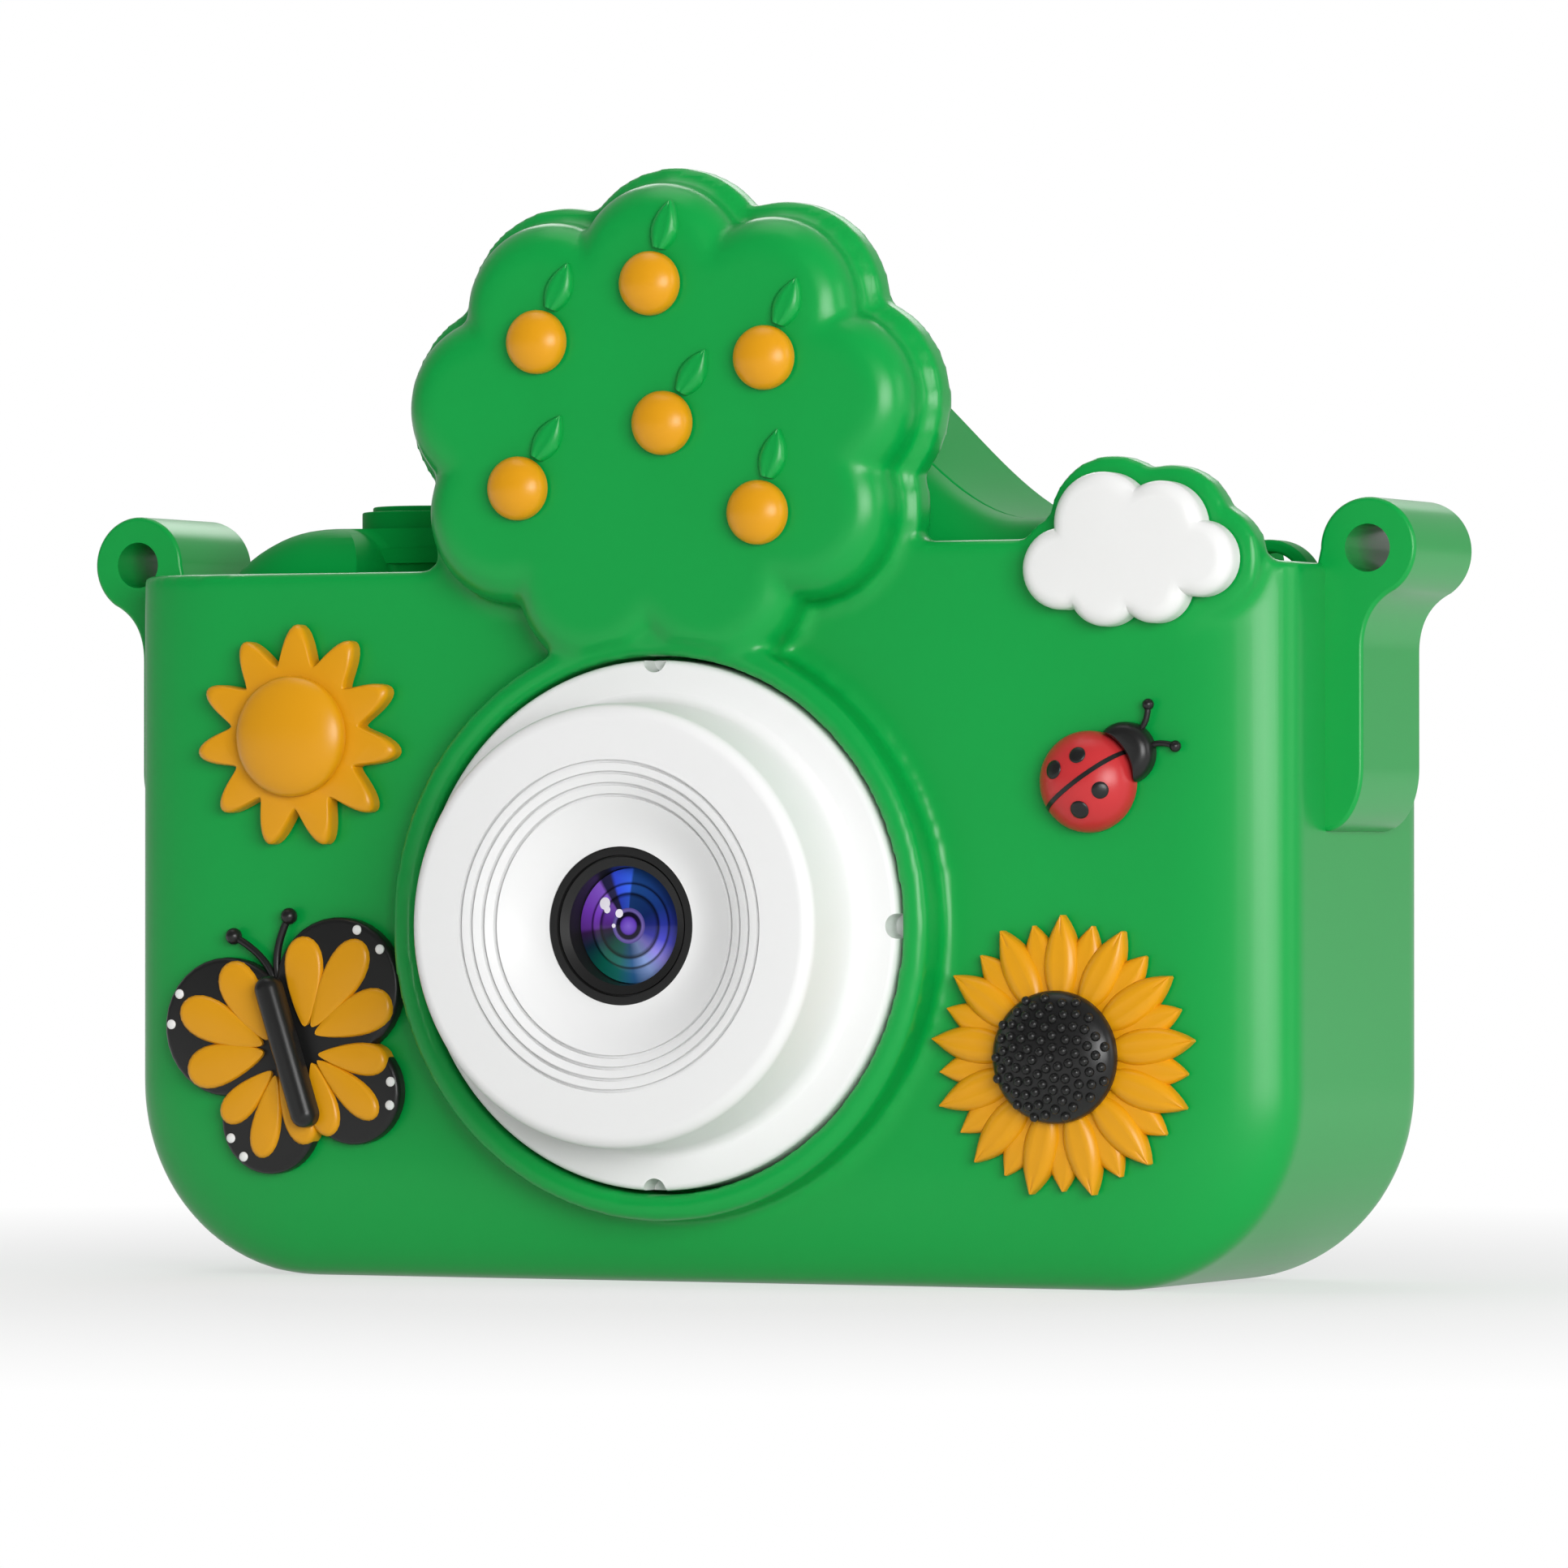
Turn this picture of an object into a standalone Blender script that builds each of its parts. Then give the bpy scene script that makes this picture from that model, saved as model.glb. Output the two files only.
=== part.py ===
"""Kids digital camera in a soft silicone sleeve with a garden scene in relief.

Metres, +Z up, the lens faces -Y. The origin is the middle of the flat base.
"""

import math

import bmesh
import bpy
from mathutils import Matrix

# Clearances
FIT = 0.0003

# Silicone sleeve
SLEEVE_WIDTH = 0.0920
SLEEVE_DEPTH = 0.0280
SLEEVE_WALL = 0.0024
SLEEVE_TOP = 0.0515
SLEEVE_CORNER = 0.0140
FRONT_ROUND = 0.0085
FRONT_ROUND_DEPTH = 0.0036
REAR_ROUND = 0.0030
LIP_REACH = 0.0076
LIP_THICKNESS = 0.0022
COLLAR_WIDTH = 0.0019
COLLAR_RISE = 0.0036

# Lanyard ears on the sleeve's sides
EAR_SPACING = 0.0984
EAR_HEIGHT = 0.0525
EAR_RADIUS = 0.0036
EAR_BORE_RADIUS = 0.0017
EAR_LENGTH = 0.0115
EAR_SETBACK = 0.0080
RIB_STAND = 0.0028
RIB_LENGTH = 0.0200
RIB_TAPER = 0.0045
RIB_FILLET = 0.0020

# Crest: a tree crown of round lobes, on a plate that stands up from the front wall
CROWN_X = -0.0013
CROWN_HEIGHT = 0.0612
CROWN_REACH_X = 0.0135
CROWN_REACH_Z = 0.0113
CROWN_LOBES = 9
LOBE_RADIUS = 0.0066
CROWN_RELIEF = 0.0042
CROWN_ROUND = 0.0026
SADDLE_RISE = 0.0017
CREST_MARGIN = 0.0012

# Camera housing
CAMERA_TOP = 0.0550
SHOULDER_RADIUS = 0.0075
HUMP_HALF_WIDTH = 0.0230
HUMP_RISE = 0.0145
HOUSING_WALL = 0.0018
HOUSING_EDGE = 0.0012
PARTING_FROM_FRONT = 0.0073
PANEL_RISE = 0.0021
STRAP_NOTCH_WIDTH = 0.0082
STRAP_NOTCH_ROUND = 0.0030
STRAP_NOTCH_DROP = 0.0044
STRAP_BAR = 0.0009
STRAP_BAR_DEPTH = 0.0024
STRAP_RADIUS = 0.0036
STRAP_DROP = 0.0015
STRAP_INSET = 0.0053

# Lens
LENS_X = -0.0010
LENS_HEIGHT = 0.0258
RING_RADIUS = 0.0190
RING_WIDTH = 0.0020
RING_RISE = 0.0035
RING_NOTCH = 0.0009
BARREL_RISE = 0.0076
BARREL_TAPER = 0.0009
BARREL_RIM = 0.0014
BARREL_WALL = 0.0020
DISH_RADIUS = 0.0124
DISH_DEPTH = 0.0008
CONE_DEPTH = 0.0016
BEZEL_RADIUS = 0.0058
BEZEL_WALL = 0.0014
BEZEL_LENGTH = 0.0034
GLASS_THICKNESS = 0.0011
GLASS_CROWN = 0.0007
ELEMENT_THICKNESS = 0.0010
HOLDER_RADIUS = 0.0056
HOLDER_BASE = 0.0140
HOLDER_BASE_THICKNESS = 0.0018
SENSOR_BOARD = 0.0160
BOARD_THICKNESS = 0.0010

# Boards and what they carry
MAIN_BOARD_HEIGHT = 0.0260
MAIN_BOARD_BASE = 0.0135
MAIN_BOARD_RIGHT = 0.0340
MAIN_BOARD_FROM_PARTING = 0.0064
POST_RADIUS = 0.0017
BATTERY_WIDTH = 0.0230
BATTERY_HEIGHT = 0.0278
BATTERY_BASE = 0.0140
BATTERY_THICKNESS = 0.0046
BATTERY_GAP = 0.0065
SPEAKER_RADIUS = 0.0070
SPEAKER_THICKNESS = 0.0030
MICROPHONE_RADIUS = 0.0020
MICROPHONE_HEIGHT = 0.0014
LEAD_RADIUS = 0.0007
CABLE_WIDTH = 0.0080
CABLE_THICKNESS = 0.0004

# Ports on the left side
PORT_HEIGHT = 0.0230
USB_WIDTH = 0.0090
USB_THICKNESS = 0.0032
USB_LENGTH = 0.0074
USB_SHELL = 0.0004
USB_TONGUE = 0.0007
CARD_WIDTH = 0.0110
CARD_LENGTH = 0.0150
CARD_THICKNESS = 0.0010
CARD_GRIP = 0.0012
SOCKET_WALL = 0.0006
PORT_WINDOW_MARGIN = 0.0022

# Screen
SCREEN_X = 0.0108
SCREEN_CLEARANCE = 0.0017
WINDOW_WIDTH = 0.0430
WINDOW_TALL = 0.0330
WINDOW_THICKNESS = 0.0008
WINDOW_LEDGE = 0.0020
PANEL_BORDER = 0.0006
DISPLAY_THICKNESS = 0.0026

# Rear buttons
PAD_X = -0.0227
PAD_HEIGHT = 0.0225
PAD_REACH = 0.0074
PAD_BUTTON_RADIUS = 0.0025
OK_BUTTON_RADIUS = 0.0029
MENU_ROW_DROP = 0.0062
MENU_ROW_REACH = 0.0052
MENU_BUTTON_RADIUS = 0.0027
BUTTON_PROUD = 0.0009
BUTTON_EDGE = 0.0004
BUTTON_FLANGE = 0.0006
FLANGE_THICKNESS = 0.0006
BUTTON_TRAVEL = 0.0005
TRAVEL_SPARE = 0.0002
DOME_RADIUS = 0.0020
DOME_HEIGHT = 0.0004
DOME_SHEET = 0.0004
KEY_BOARD_MARGIN = 0.0009

# Top buttons
SHUTTER_X = -0.0288
POWER_X = 0.0285
TOP_BUTTON_Y = 0.0030
SHUTTER_RADIUS = 0.0055
SHUTTER_PROUD = 0.0018
SHUTTER_STEP = 0.0008
SHUTTER_STEP_HEIGHT = 0.0004
POWER_RADIUS = 0.0034
POWER_PROUD = 0.0010
TOP_TRAVEL = 0.0006
SWITCH_SIDE = 0.0045
SWITCH_HEIGHT = 0.0020
SWITCH_BOARD_DEPTH = 0.0080
SWITCH_BOARD_MARGIN = 0.0045
LEDGE_HEIGHT = 0.0012

# Rear lens in the hump
REAR_LENS_CLEARANCE = 0.0003
REAR_RING_RADIUS = 0.0052
REAR_RING_WALL = 0.0022
REAR_RING_RISE = 0.0014
REAR_MODULE_SIDE = 0.0080
REAR_MODULE_THICKNESS = 0.0024

# Housing screws
SCREW_INSET_X = 0.0044
SCREW_LOW = 0.0105
SCREW_HIGH = 0.0455
SCREW_HEAD_RADIUS = 0.0019
SCREW_HEAD = 0.0013
SCREW_SHANK_RADIUS = 0.0009
SCREW_BITE = 0.0036
TOWER_RADIUS = 0.0030

# Inlays on the sleeve's front
INLAY_THICKNESS = 0.0014
INLAY_EDGE = 0.0005
FRUIT_RADIUS = 0.0023
FRUIT_HEIGHT = 0.0014
FRUIT_PLACES = ((-0.0100, -0.0040), (-0.0085, 0.0065), (0.0005, 0.0105),
                (0.0015, 0.0005), (0.0095, 0.0050), (0.0090, -0.0060))
CLOUD_X = 0.0348
CLOUD_DROP = 0.0003
CLOUD_THICKNESS = 0.0022
CLOUD_LOBES = ((-0.0050, -0.0002, 0.0029), (-0.0019, 0.0030, 0.0036), (0.0025, 0.0026, 0.0033),
               (0.0054, 0.0004, 0.0027), (0.0020, -0.0015, 0.0026), (-0.0017, -0.0016, 0.0027))
SUN_X = -0.0310
SUN_HEIGHT = 0.0395
SUN_RADIUS = 0.0044
SUN_DOME = 0.0014
RAY_INNER = 0.0054
RAY_OUTER = 0.0082
RAY_COUNT = 11
BUG_X = 0.0315
BUG_HEIGHT = 0.0360
BUG_RADIUS = 0.0036
BUG_DOME = 0.0024
BUG_HEAD_RADIUS = 0.0016
BUG_HEADING = 35
BUTTERFLY_X = -0.0312
BUTTERFLY_HEIGHT = 0.0165
BUTTERFLY_TILT = 18
WING_LOBES = ((-0.0048, 0.0034, 0.0051), (0.0048, 0.0034, 0.0051),
              (0.0036, -0.0042, 0.0039), (-0.0036, -0.0042, 0.0039))
BUTTERFLY_BODY_LENGTH = 0.0115
BUTTERFLY_BODY_RADIUS = 0.0010
SUNFLOWER_X = 0.0296
SUNFLOWER_HEIGHT = 0.0166
PETAL_INNER = 0.0062
PETAL_OUTER = 0.0100
PETAL_COUNT = 13
SEED_DISC_RADIUS = 0.0047
SEED_DISC_DOME = 0.0018

# Places worked out from the sizes above
HALF = SLEEVE_WIDTH / 2
FRONT = -SLEEVE_DEPTH / 2
REAR = SLEEVE_DEPTH / 2
CAMERA_HALF = HALF - SLEEVE_WALL - FIT
CAMERA_BASE = SLEEVE_WALL + FIT
CAMERA_CORNER = SLEEVE_CORNER - SLEEVE_WALL - FIT
CAMERA_ROUND = FRONT_ROUND - SLEEVE_WALL - FIT
CAMERA_FRONT = FRONT + SLEEVE_WALL + FIT
CAMERA_REAR = REAR - LIP_THICKNESS - FIT
PARTING = CAMERA_FRONT + PARTING_FROM_FRONT
INNER_FRONT = CAMERA_FRONT + HOUSING_WALL
INNER_HALF = CAMERA_HALF - HOUSING_WALL
INNER_BASE = CAMERA_BASE + HOUSING_WALL
INNER_TOP = CAMERA_TOP - HOUSING_WALL
INNER_REAR = CAMERA_REAR - HOUSING_WALL
PANEL_REAR = CAMERA_REAR + PANEL_RISE
PANEL_INNER = PANEL_REAR - HOUSING_WALL
PANEL_HALF = CAMERA_HALF + FIT - LIP_REACH - FIT
PANEL_BASE = CAMERA_BASE - FIT + LIP_REACH * 0.68 + FIT
PANEL_TOP = CAMERA_TOP - HOUSING_EDGE - FIT
REAR_LENS_HEIGHT = PANEL_TOP + REAR_LENS_CLEARANCE + REAR_RING_RADIUS
SCREEN_HEIGHT = PANEL_BASE + HOUSING_WALL + SCREEN_CLEARANCE + PANEL_BORDER + WINDOW_TALL / 2
RING_FRONT = FRONT - RING_RISE
BARREL_FRONT = RING_FRONT - BARREL_RISE
BARREL_RADIUS = RING_RADIUS - RING_WIDTH - FIT
BEZEL_FRONT = BARREL_FRONT + DISH_DEPTH + CONE_DEPTH - FIT
BEZEL_REAR = BEZEL_FRONT + BEZEL_LENGTH
HOLDER_FRONT = BEZEL_REAR + FIT
HOLDER_REAR = INNER_FRONT + FIT + HOLDER_BASE_THICKNESS
SENSOR_FRONT = HOLDER_REAR + FIT
SENSOR_REAR = SENSOR_FRONT + BOARD_THICKNESS
MAIN_FRONT = PARTING + MAIN_BOARD_FROM_PARTING
MAIN_REAR = MAIN_FRONT + BOARD_THICKNESS
MAIN_LEFT = -INNER_HALF + FIT
MAIN_TOP = MAIN_BOARD_BASE + MAIN_BOARD_HEIGHT
FLANGE_REAR = PANEL_INNER - FIT
FLANGE_FRONT = FLANGE_REAR - FLANGE_THICKNESS
DOME_TOP = FLANGE_FRONT - BUTTON_TRAVEL - TRAVEL_SPARE
SHEET_REAR = DOME_TOP - DOME_HEIGHT
KEY_REAR = SHEET_REAR - DOME_SHEET - FIT
KEY_FRONT = KEY_REAR - BOARD_THICKNESS
TOP_FLANGE = INNER_TOP - FIT - FLANGE_THICKNESS
SWITCH_TOP = TOP_FLANGE - TOP_TRAVEL - TRAVEL_SPARE
SWITCH_BASE = SWITCH_TOP - SWITCH_HEIGHT
TOP_BOARD = SWITCH_BASE - FIT
SHELF_TOP = TOP_BOARD - BOARD_THICKNESS - FIT
MENU_ROW_HEIGHT = SHELF_TOP - LEDGE_HEIGHT - MENU_ROW_DROP
SCREW_X = CAMERA_HALF - SCREW_INSET_X
HEAD_SEAT = CAMERA_REAR - FIT - SCREW_HEAD
COLLAR_INNER = RING_RADIUS + FIT
COLLAR_RADIUS = COLLAR_INNER + COLLAR_WIDTH
INLAY_BACK = FRONT - FIT
INLAY_FRONT = INLAY_BACK - INLAY_THICKNESS
CROWN_FRONT = FRONT - CROWN_RELIEF
CLOUD_HEIGHT = SLEEVE_TOP - CLOUD_DROP

# Mesh fineness and construction allowances
EDGE_STEPS = 5
LENS_STEPS = 44
BUTTON_STEPS = 20
SMALL_STEPS = 14
CORNER_STEPS = 6
OVERLAP = 0.0006
PAST = 0.0040
SMOOTH_BELOW = math.radians(38)

# How a shape's own axis is turned into the object's frame
ALONG_X = Matrix(((0, 0, 1), (1, 0, 0), (0, 1, 0))).to_4x4()
FORWARD = Matrix(((1, 0, 0), (0, 0, -1), (0, 1, 0))).to_4x4()
BACKWARD = Matrix(((1, 0, 0), (0, 0, 1), (0, -1, 0))).to_4x4()
UPWARD = Matrix.Identity(4)


def clear_scene():
    for thing in list(bpy.data.objects):
        bpy.data.objects.remove(thing)


def new_collection(name):
    made = bpy.data.collections.new(name)
    bpy.context.scene.collection.children.link(made)
    return made


clear_scene()
PARTS = new_collection("kids_digital_camera")
CUTTERS = new_collection("cutters")
CENTRE = bpy.data.objects.new("camera_centre", None)
PARTS.objects.link(CENTRE)


def finish(name, colour, roughness, metallic=0.0):
    """A plain material of one colour."""
    made = bpy.data.materials.new(name)
    made.use_nodes = True
    shader = made.node_tree.nodes["Principled BSDF"]
    shader.inputs["Base Color"].default_value = (*colour, 1.0)
    shader.inputs["Roughness"].default_value = roughness
    shader.inputs["Metallic"].default_value = metallic
    made.diffuse_color = (*colour, 1.0)
    return made


GREEN_SILICONE = finish("green_silicone", (0.016, 0.300, 0.058), 0.45)
GREEN_PLASTIC = finish("green_plastic", (0.014, 0.270, 0.050), 0.35)
AMBER_SILICONE = finish("amber_silicone", (0.820, 0.370, 0.022), 0.45)
WHITE_SILICONE = finish("white_silicone", (0.860, 0.860, 0.850), 0.45)
BLACK_SILICONE = finish("black_silicone", (0.020, 0.020, 0.020), 0.45)
RED_SILICONE = finish("red_silicone", (0.620, 0.035, 0.035), 0.45)
WHITE_PLASTIC = finish("white_plastic", (0.880, 0.880, 0.880), 0.25)
BLACK_PLASTIC = finish("black_plastic", (0.025, 0.025, 0.025), 0.40)
COATED_GLASS = finish("coated_glass", (0.050, 0.040, 0.160), 0.05)
WINDOW_GLASS = finish("window_glass", (0.010, 0.010, 0.012), 0.08)
BOARD_GREEN = finish("board_green", (0.010, 0.100, 0.050), 0.50)
CELL_FOIL = finish("cell_foil", (0.600, 0.600, 0.620), 0.35, 0.6)
STEEL = finish("steel", (0.560, 0.560, 0.570), 0.30, 1.0)
CABLE_AMBER = finish("cable_amber", (0.420, 0.180, 0.030), 0.40)
LEAD_RED = finish("lead_red", (0.450, 0.020, 0.020), 0.50)


def place(mesh, name, matrix, material, helper):
    """An object for a finished mesh, as a part or as a hidden cutter."""
    mesh.name = name
    made = bpy.data.objects.new(name, mesh)
    made.matrix_world = matrix
    if helper:
        CUTTERS.objects.link(made)
        made.hide_render = True
        made.display_type = "WIRE"
        return made
    PARTS.objects.link(made)
    made.parent = CENTRE
    mesh.materials.append(material)
    return made


def smooth(thing):
    thing.data.shade_smooth()
    thing.data.set_sharp_from_angle(angle=SMOOTH_BELOW)
    return thing


def arc(centre_x, centre_z, radius, start, end, steps=CORNER_STEPS):
    """Points along a circle, from one angle to another in degrees."""
    angles = [math.radians(start + (end - start) * i / steps) for i in range(steps + 1)]
    return [(centre_x + radius * math.cos(a), centre_z + radius * math.sin(a)) for a in angles]


def turned_by(points, centre_x, centre_z, degrees):
    """Points turned about their own origin, then moved to a centre."""
    c, s = math.cos(math.radians(degrees)), math.sin(math.radians(degrees))
    return [(centre_x + c * x - s * z, centre_z + s * x + c * z) for x, z in points]


def rectangle(left, low, right, high):
    return [(left, low), (right, low), (right, high), (left, high)]


def stadium(centre_x, centre_z, width, height):
    """A slot outline, wider than it is high, or the other way round."""
    radius = min(width, height) / 2
    across, along = width / 2 - radius, height / 2 - radius
    if width > height:
        ends = arc(across, 0, radius, -90, 90) + arc(-across, 0, radius, 90, 270)
    else:
        ends = arc(0, along, radius, 0, 180) + arc(0, -along, radius, 180, 360)
    return [(centre_x + x, centre_z + z) for x, z in ends]


def meeting_point(first, second):
    """Where two overlapping lobes cross on their outer side, going anticlockwise."""
    ax, az, ar = first
    bx, bz, br = second
    dx, dz = bx - ax, bz - az
    apart = math.hypot(dx, dz)
    along = (apart ** 2 + ar ** 2 - br ** 2) / (2 * apart)
    across = math.sqrt(max(ar ** 2 - along ** 2, 0.0))
    return (ax + (along * dx + across * dz) / apart, az + (along * dz - across * dx) / apart)


def lobed(lobes, steps=CORNER_STEPS):
    """The outer outline of round lobes that each overlap the next, listed anticlockwise."""
    outline = []
    for i, lobe in enumerate(lobes):
        x, z, radius = lobe
        begin = meeting_point(lobes[i - 1], lobe)
        end = meeting_point(lobe, lobes[(i + 1) % len(lobes)])
        start = math.degrees(math.atan2(begin[1] - z, begin[0] - x))
        stop = math.degrees(math.atan2(end[1] - z, end[0] - x))
        stop += 360 * (stop <= start)
        outline += arc(x, z, radius, start, stop, steps)[:-1]
    return outline


def prism(name, outline, low, high, turn=FORWARD, material=None):
    """A flat outline given thickness. With turn FORWARD it lies in XZ, and low and high are along Y."""
    flat = bpy.data.curves.new(name, "CURVE")
    flat.dimensions = "2D"
    flat.fill_mode = "BOTH"
    flat.extrude = (high - low) / 2
    spline = flat.splines.new("POLY")
    spline.points.add(len(outline) - 1)
    for point, (u, v) in zip(spline.points, outline):
        point.co = (u, v, 0.0, 1.0)
    spline.use_cyclic_u = True
    sketch = bpy.data.objects.new(name, flat)
    middle = (turn @ Matrix.Translation((0, 0, 1))).translation * ((high + low) / 2)
    if turn is FORWARD:
        middle = -middle
    sketch.matrix_world = Matrix.Translation(middle) @ turn
    CUTTERS.objects.link(sketch)
    graph = bpy.context.evaluated_depsgraph_get()
    mesh = bpy.data.meshes.new_from_object(sketch.evaluated_get(graph))
    matrix = sketch.matrix_world.copy()
    bpy.data.objects.remove(sketch)
    work = bmesh.new()
    work.from_mesh(mesh)
    bmesh.ops.remove_doubles(work, verts=work.verts, dist=1e-6)
    bmesh.ops.dissolve_limit(work, angle_limit=0.01, verts=work.verts, edges=work.edges)
    bmesh.ops.recalc_face_normals(work, faces=work.faces)
    work.to_mesh(mesh)
    work.free()
    mesh.materials.clear()
    return place(mesh, name, matrix, material, material is None)


def layered(name, rings, material=None):
    """A solid through a row of outlines in XZ, each given with its place along Y."""
    work = bmesh.new()
    rows = [[work.verts.new((u, y, v)) for u, v in outline] for outline, y in rings]
    for first, second in zip(rows, rows[1:]):
        for i in range(len(first)):
            work.faces.new((first[i - 1], first[i], second[i], second[i - 1]))
    work.faces.new(rows[0])
    work.faces.new(rows[-1])
    bmesh.ops.recalc_face_normals(work, faces=work.faces)
    mesh = bpy.data.meshes.new(name)
    work.to_mesh(mesh)
    work.free()
    return place(mesh, name, Matrix.Identity(4), material, material is None)


def block(name, low, high, material=None):
    """A box between two corners, with its origin at its middle."""
    work = bmesh.new()
    bmesh.ops.create_cube(work, size=1.0)
    size = [b - a for a, b in zip(low, high)]
    middle = [(a + b) / 2 for a, b in zip(low, high)]
    bmesh.ops.scale(work, vec=size, verts=work.verts)
    mesh = bpy.data.meshes.new(name)
    work.to_mesh(mesh)
    work.free()
    return place(mesh, name, Matrix.Translation(middle), material, material is None)


def rod(name, radius, base, length, turn=UPWARD, material=None, steps=SMALL_STEPS):
    """A cylinder that starts at base and runs along its turned axis."""
    work = bmesh.new()
    bmesh.ops.create_cone(work, cap_ends=True, segments=steps, radius1=radius, radius2=radius,
                          depth=length, matrix=Matrix.Translation((0, 0, length / 2)))
    mesh = bpy.data.meshes.new(name)
    work.to_mesh(mesh)
    work.free()
    made = place(mesh, name, Matrix.Translation(base) @ turn, material, material is None)
    return smooth(made)


def turned(name, profile, base, turn=FORWARD, material=None, steps=LENS_STEPS):
    """A turned shape: (radius, height) points that run down the outer side and back up the inner."""
    mesh = bpy.data.meshes.new(name)
    work = bmesh.new()
    points = [work.verts.new((radius, 0, height)) for radius, height in profile]
    for first, second in zip(points, points[1:]):
        work.edges.new((first, second))
    if profile[0][0] > 0:
        work.edges.new((points[-1], points[0]))
    work.to_mesh(mesh)
    work.free()
    made = place(mesh, name, Matrix.Translation(base) @ turn, material, material is None)
    screw = made.modifiers.new("turn", "SCREW")
    screw.axis = "Z"
    screw.steps = steps
    screw.render_steps = steps
    screw.use_merge_vertices = True
    screw.merge_threshold = 1e-5
    return made


def dome(name, radius, thickness, rise, place_x, place_z, back, material):
    """A round inlay with a crowned front, lying on the plane y = back."""
    steps = 4
    crown = [(radius * math.sin(math.radians(90 * i / steps)),
              thickness + rise * math.cos(math.radians(90 * i / steps))) for i in range(steps + 1)]
    return turned(name, crown + [(radius, 0), (0, 0)], (place_x, back, place_z),
                  material=material, steps=BUTTON_STEPS)


def bevelled(thing, width, segments=2):
    """Rounded edges all over, where faces meet at an angle."""
    weld = thing.modifiers.new("weld", "WELD")
    weld.merge_threshold = 1e-6
    bevel = thing.modifiers.new("edges", "BEVEL")
    bevel.width = width
    bevel.segments = segments
    bevel.limit_method = "ANGLE"
    bevel.angle_limit = math.radians(40)
    bevel.use_clamp_overlap = True
    return thing


def rounded_ends(thing, front, rear, segments=4):
    """Rounds the rims of a prism's two flat ends, each with its own radius."""
    mesh = thing.data
    largest = max(front, rear)
    weights = mesh.attributes.new("bevel_weight_edge", "FLOAT", "EDGE")
    for edge in mesh.edges:
        ends = [mesh.vertices[v].co.z for v in edge.vertices]
        if min(ends) > 0:
            weights.data[edge.index].value = front / largest
        elif max(ends) < 0:
            weights.data[edge.index].value = rear / largest
    bevel = thing.modifiers.new("rims", "BEVEL")
    bevel.width = largest
    bevel.segments = segments
    bevel.limit_method = "WEIGHT"
    bevel.use_clamp_overlap = False
    return thing


def boolean(thing, other, operation):
    made = thing.modifiers.new(f"{operation.lower()}_{other.name}", "BOOLEAN")
    made.operation = operation
    made.solver = "EXACT"
    made.object = other
    return thing


def cut(thing, *others):
    for other in others:
        boolean(thing, other, "DIFFERENCE")


def join(thing, *others):
    for other in others:
        boolean(thing, other, "UNION")


def sleeve_outline(inset, top):
    """The sleeve's front view without its crest: square above, round at the two lower corners."""
    half, radius = HALF - inset, SLEEVE_CORNER - inset
    left = arc(-half + radius, inset + radius, radius, 180, 270)
    right = arc(half - radius, inset + radius, radius, 270, 360)
    return left + right + [(half, top), (-half, top)]


def sleeve_rings(top):
    """The sleeve's outlines from front to rear: an elliptical front edge and a round rear edge."""
    turns = [math.radians(90 * i / EDGE_STEPS) for i in range(EDGE_STEPS + 1)]
    front = [(sleeve_outline(FRONT_ROUND * (1 - math.sin(turn)), top),
              FRONT + FRONT_ROUND_DEPTH * (1 - math.cos(turn))) for turn in turns]
    rear = [(sleeve_outline(REAR_ROUND * (1 - math.cos(turn)), top),
             REAR - REAR_ROUND * (1 - math.sin(turn))) for turn in turns]
    return front + rear


def camera_outline(inset):
    """The camera's front view: a hump in the middle of the top, and a step for the strap bar."""
    half, base, top = CAMERA_HALF - inset, CAMERA_BASE + inset, CAMERA_TOP - inset
    low, high = CAMERA_CORNER - inset, SHOULDER_RADIUS - inset
    hump = HUMP_HALF_WIDTH - inset
    steps = 14
    across = [hump - 2 * hump * i / steps for i in range(steps + 1)]
    outline = arc(-half + low, base + low, low, 180, 270) + arc(half - low, base + low, low, 270, 360)
    outline += [(half, top - STRAP_NOTCH_DROP), (half - STRAP_NOTCH_WIDTH, top - STRAP_NOTCH_DROP)]
    corner = STRAP_NOTCH_ROUND - inset
    outline += arc(half - STRAP_NOTCH_WIDTH - corner, top - corner, corner, 0, 90)
    outline += [(x, top + HUMP_RISE * (1 + math.cos(math.pi * x / hump)) / 2) for x in across]
    return outline + arc(-half + high, top - high, high, 90, 180)


def crown_lobes(margin):
    """The tree crown's lobes, placed round an ellipse."""
    angles = [math.radians(90 + 360 * i / CROWN_LOBES) for i in range(CROWN_LOBES)]
    return [(CROWN_X + CROWN_REACH_X * math.cos(a), CROWN_HEIGHT + CROWN_REACH_Z * math.sin(a),
             LOBE_RADIUS + margin) for a in angles]


def cloud_lobes(margin):
    """The cloud's lobes, anticlockwise, each grown by a margin."""
    return [(CLOUD_X + x, CLOUD_HEIGHT + z, radius + margin) for x, z, radius in reversed(CLOUD_LOBES)]


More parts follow.
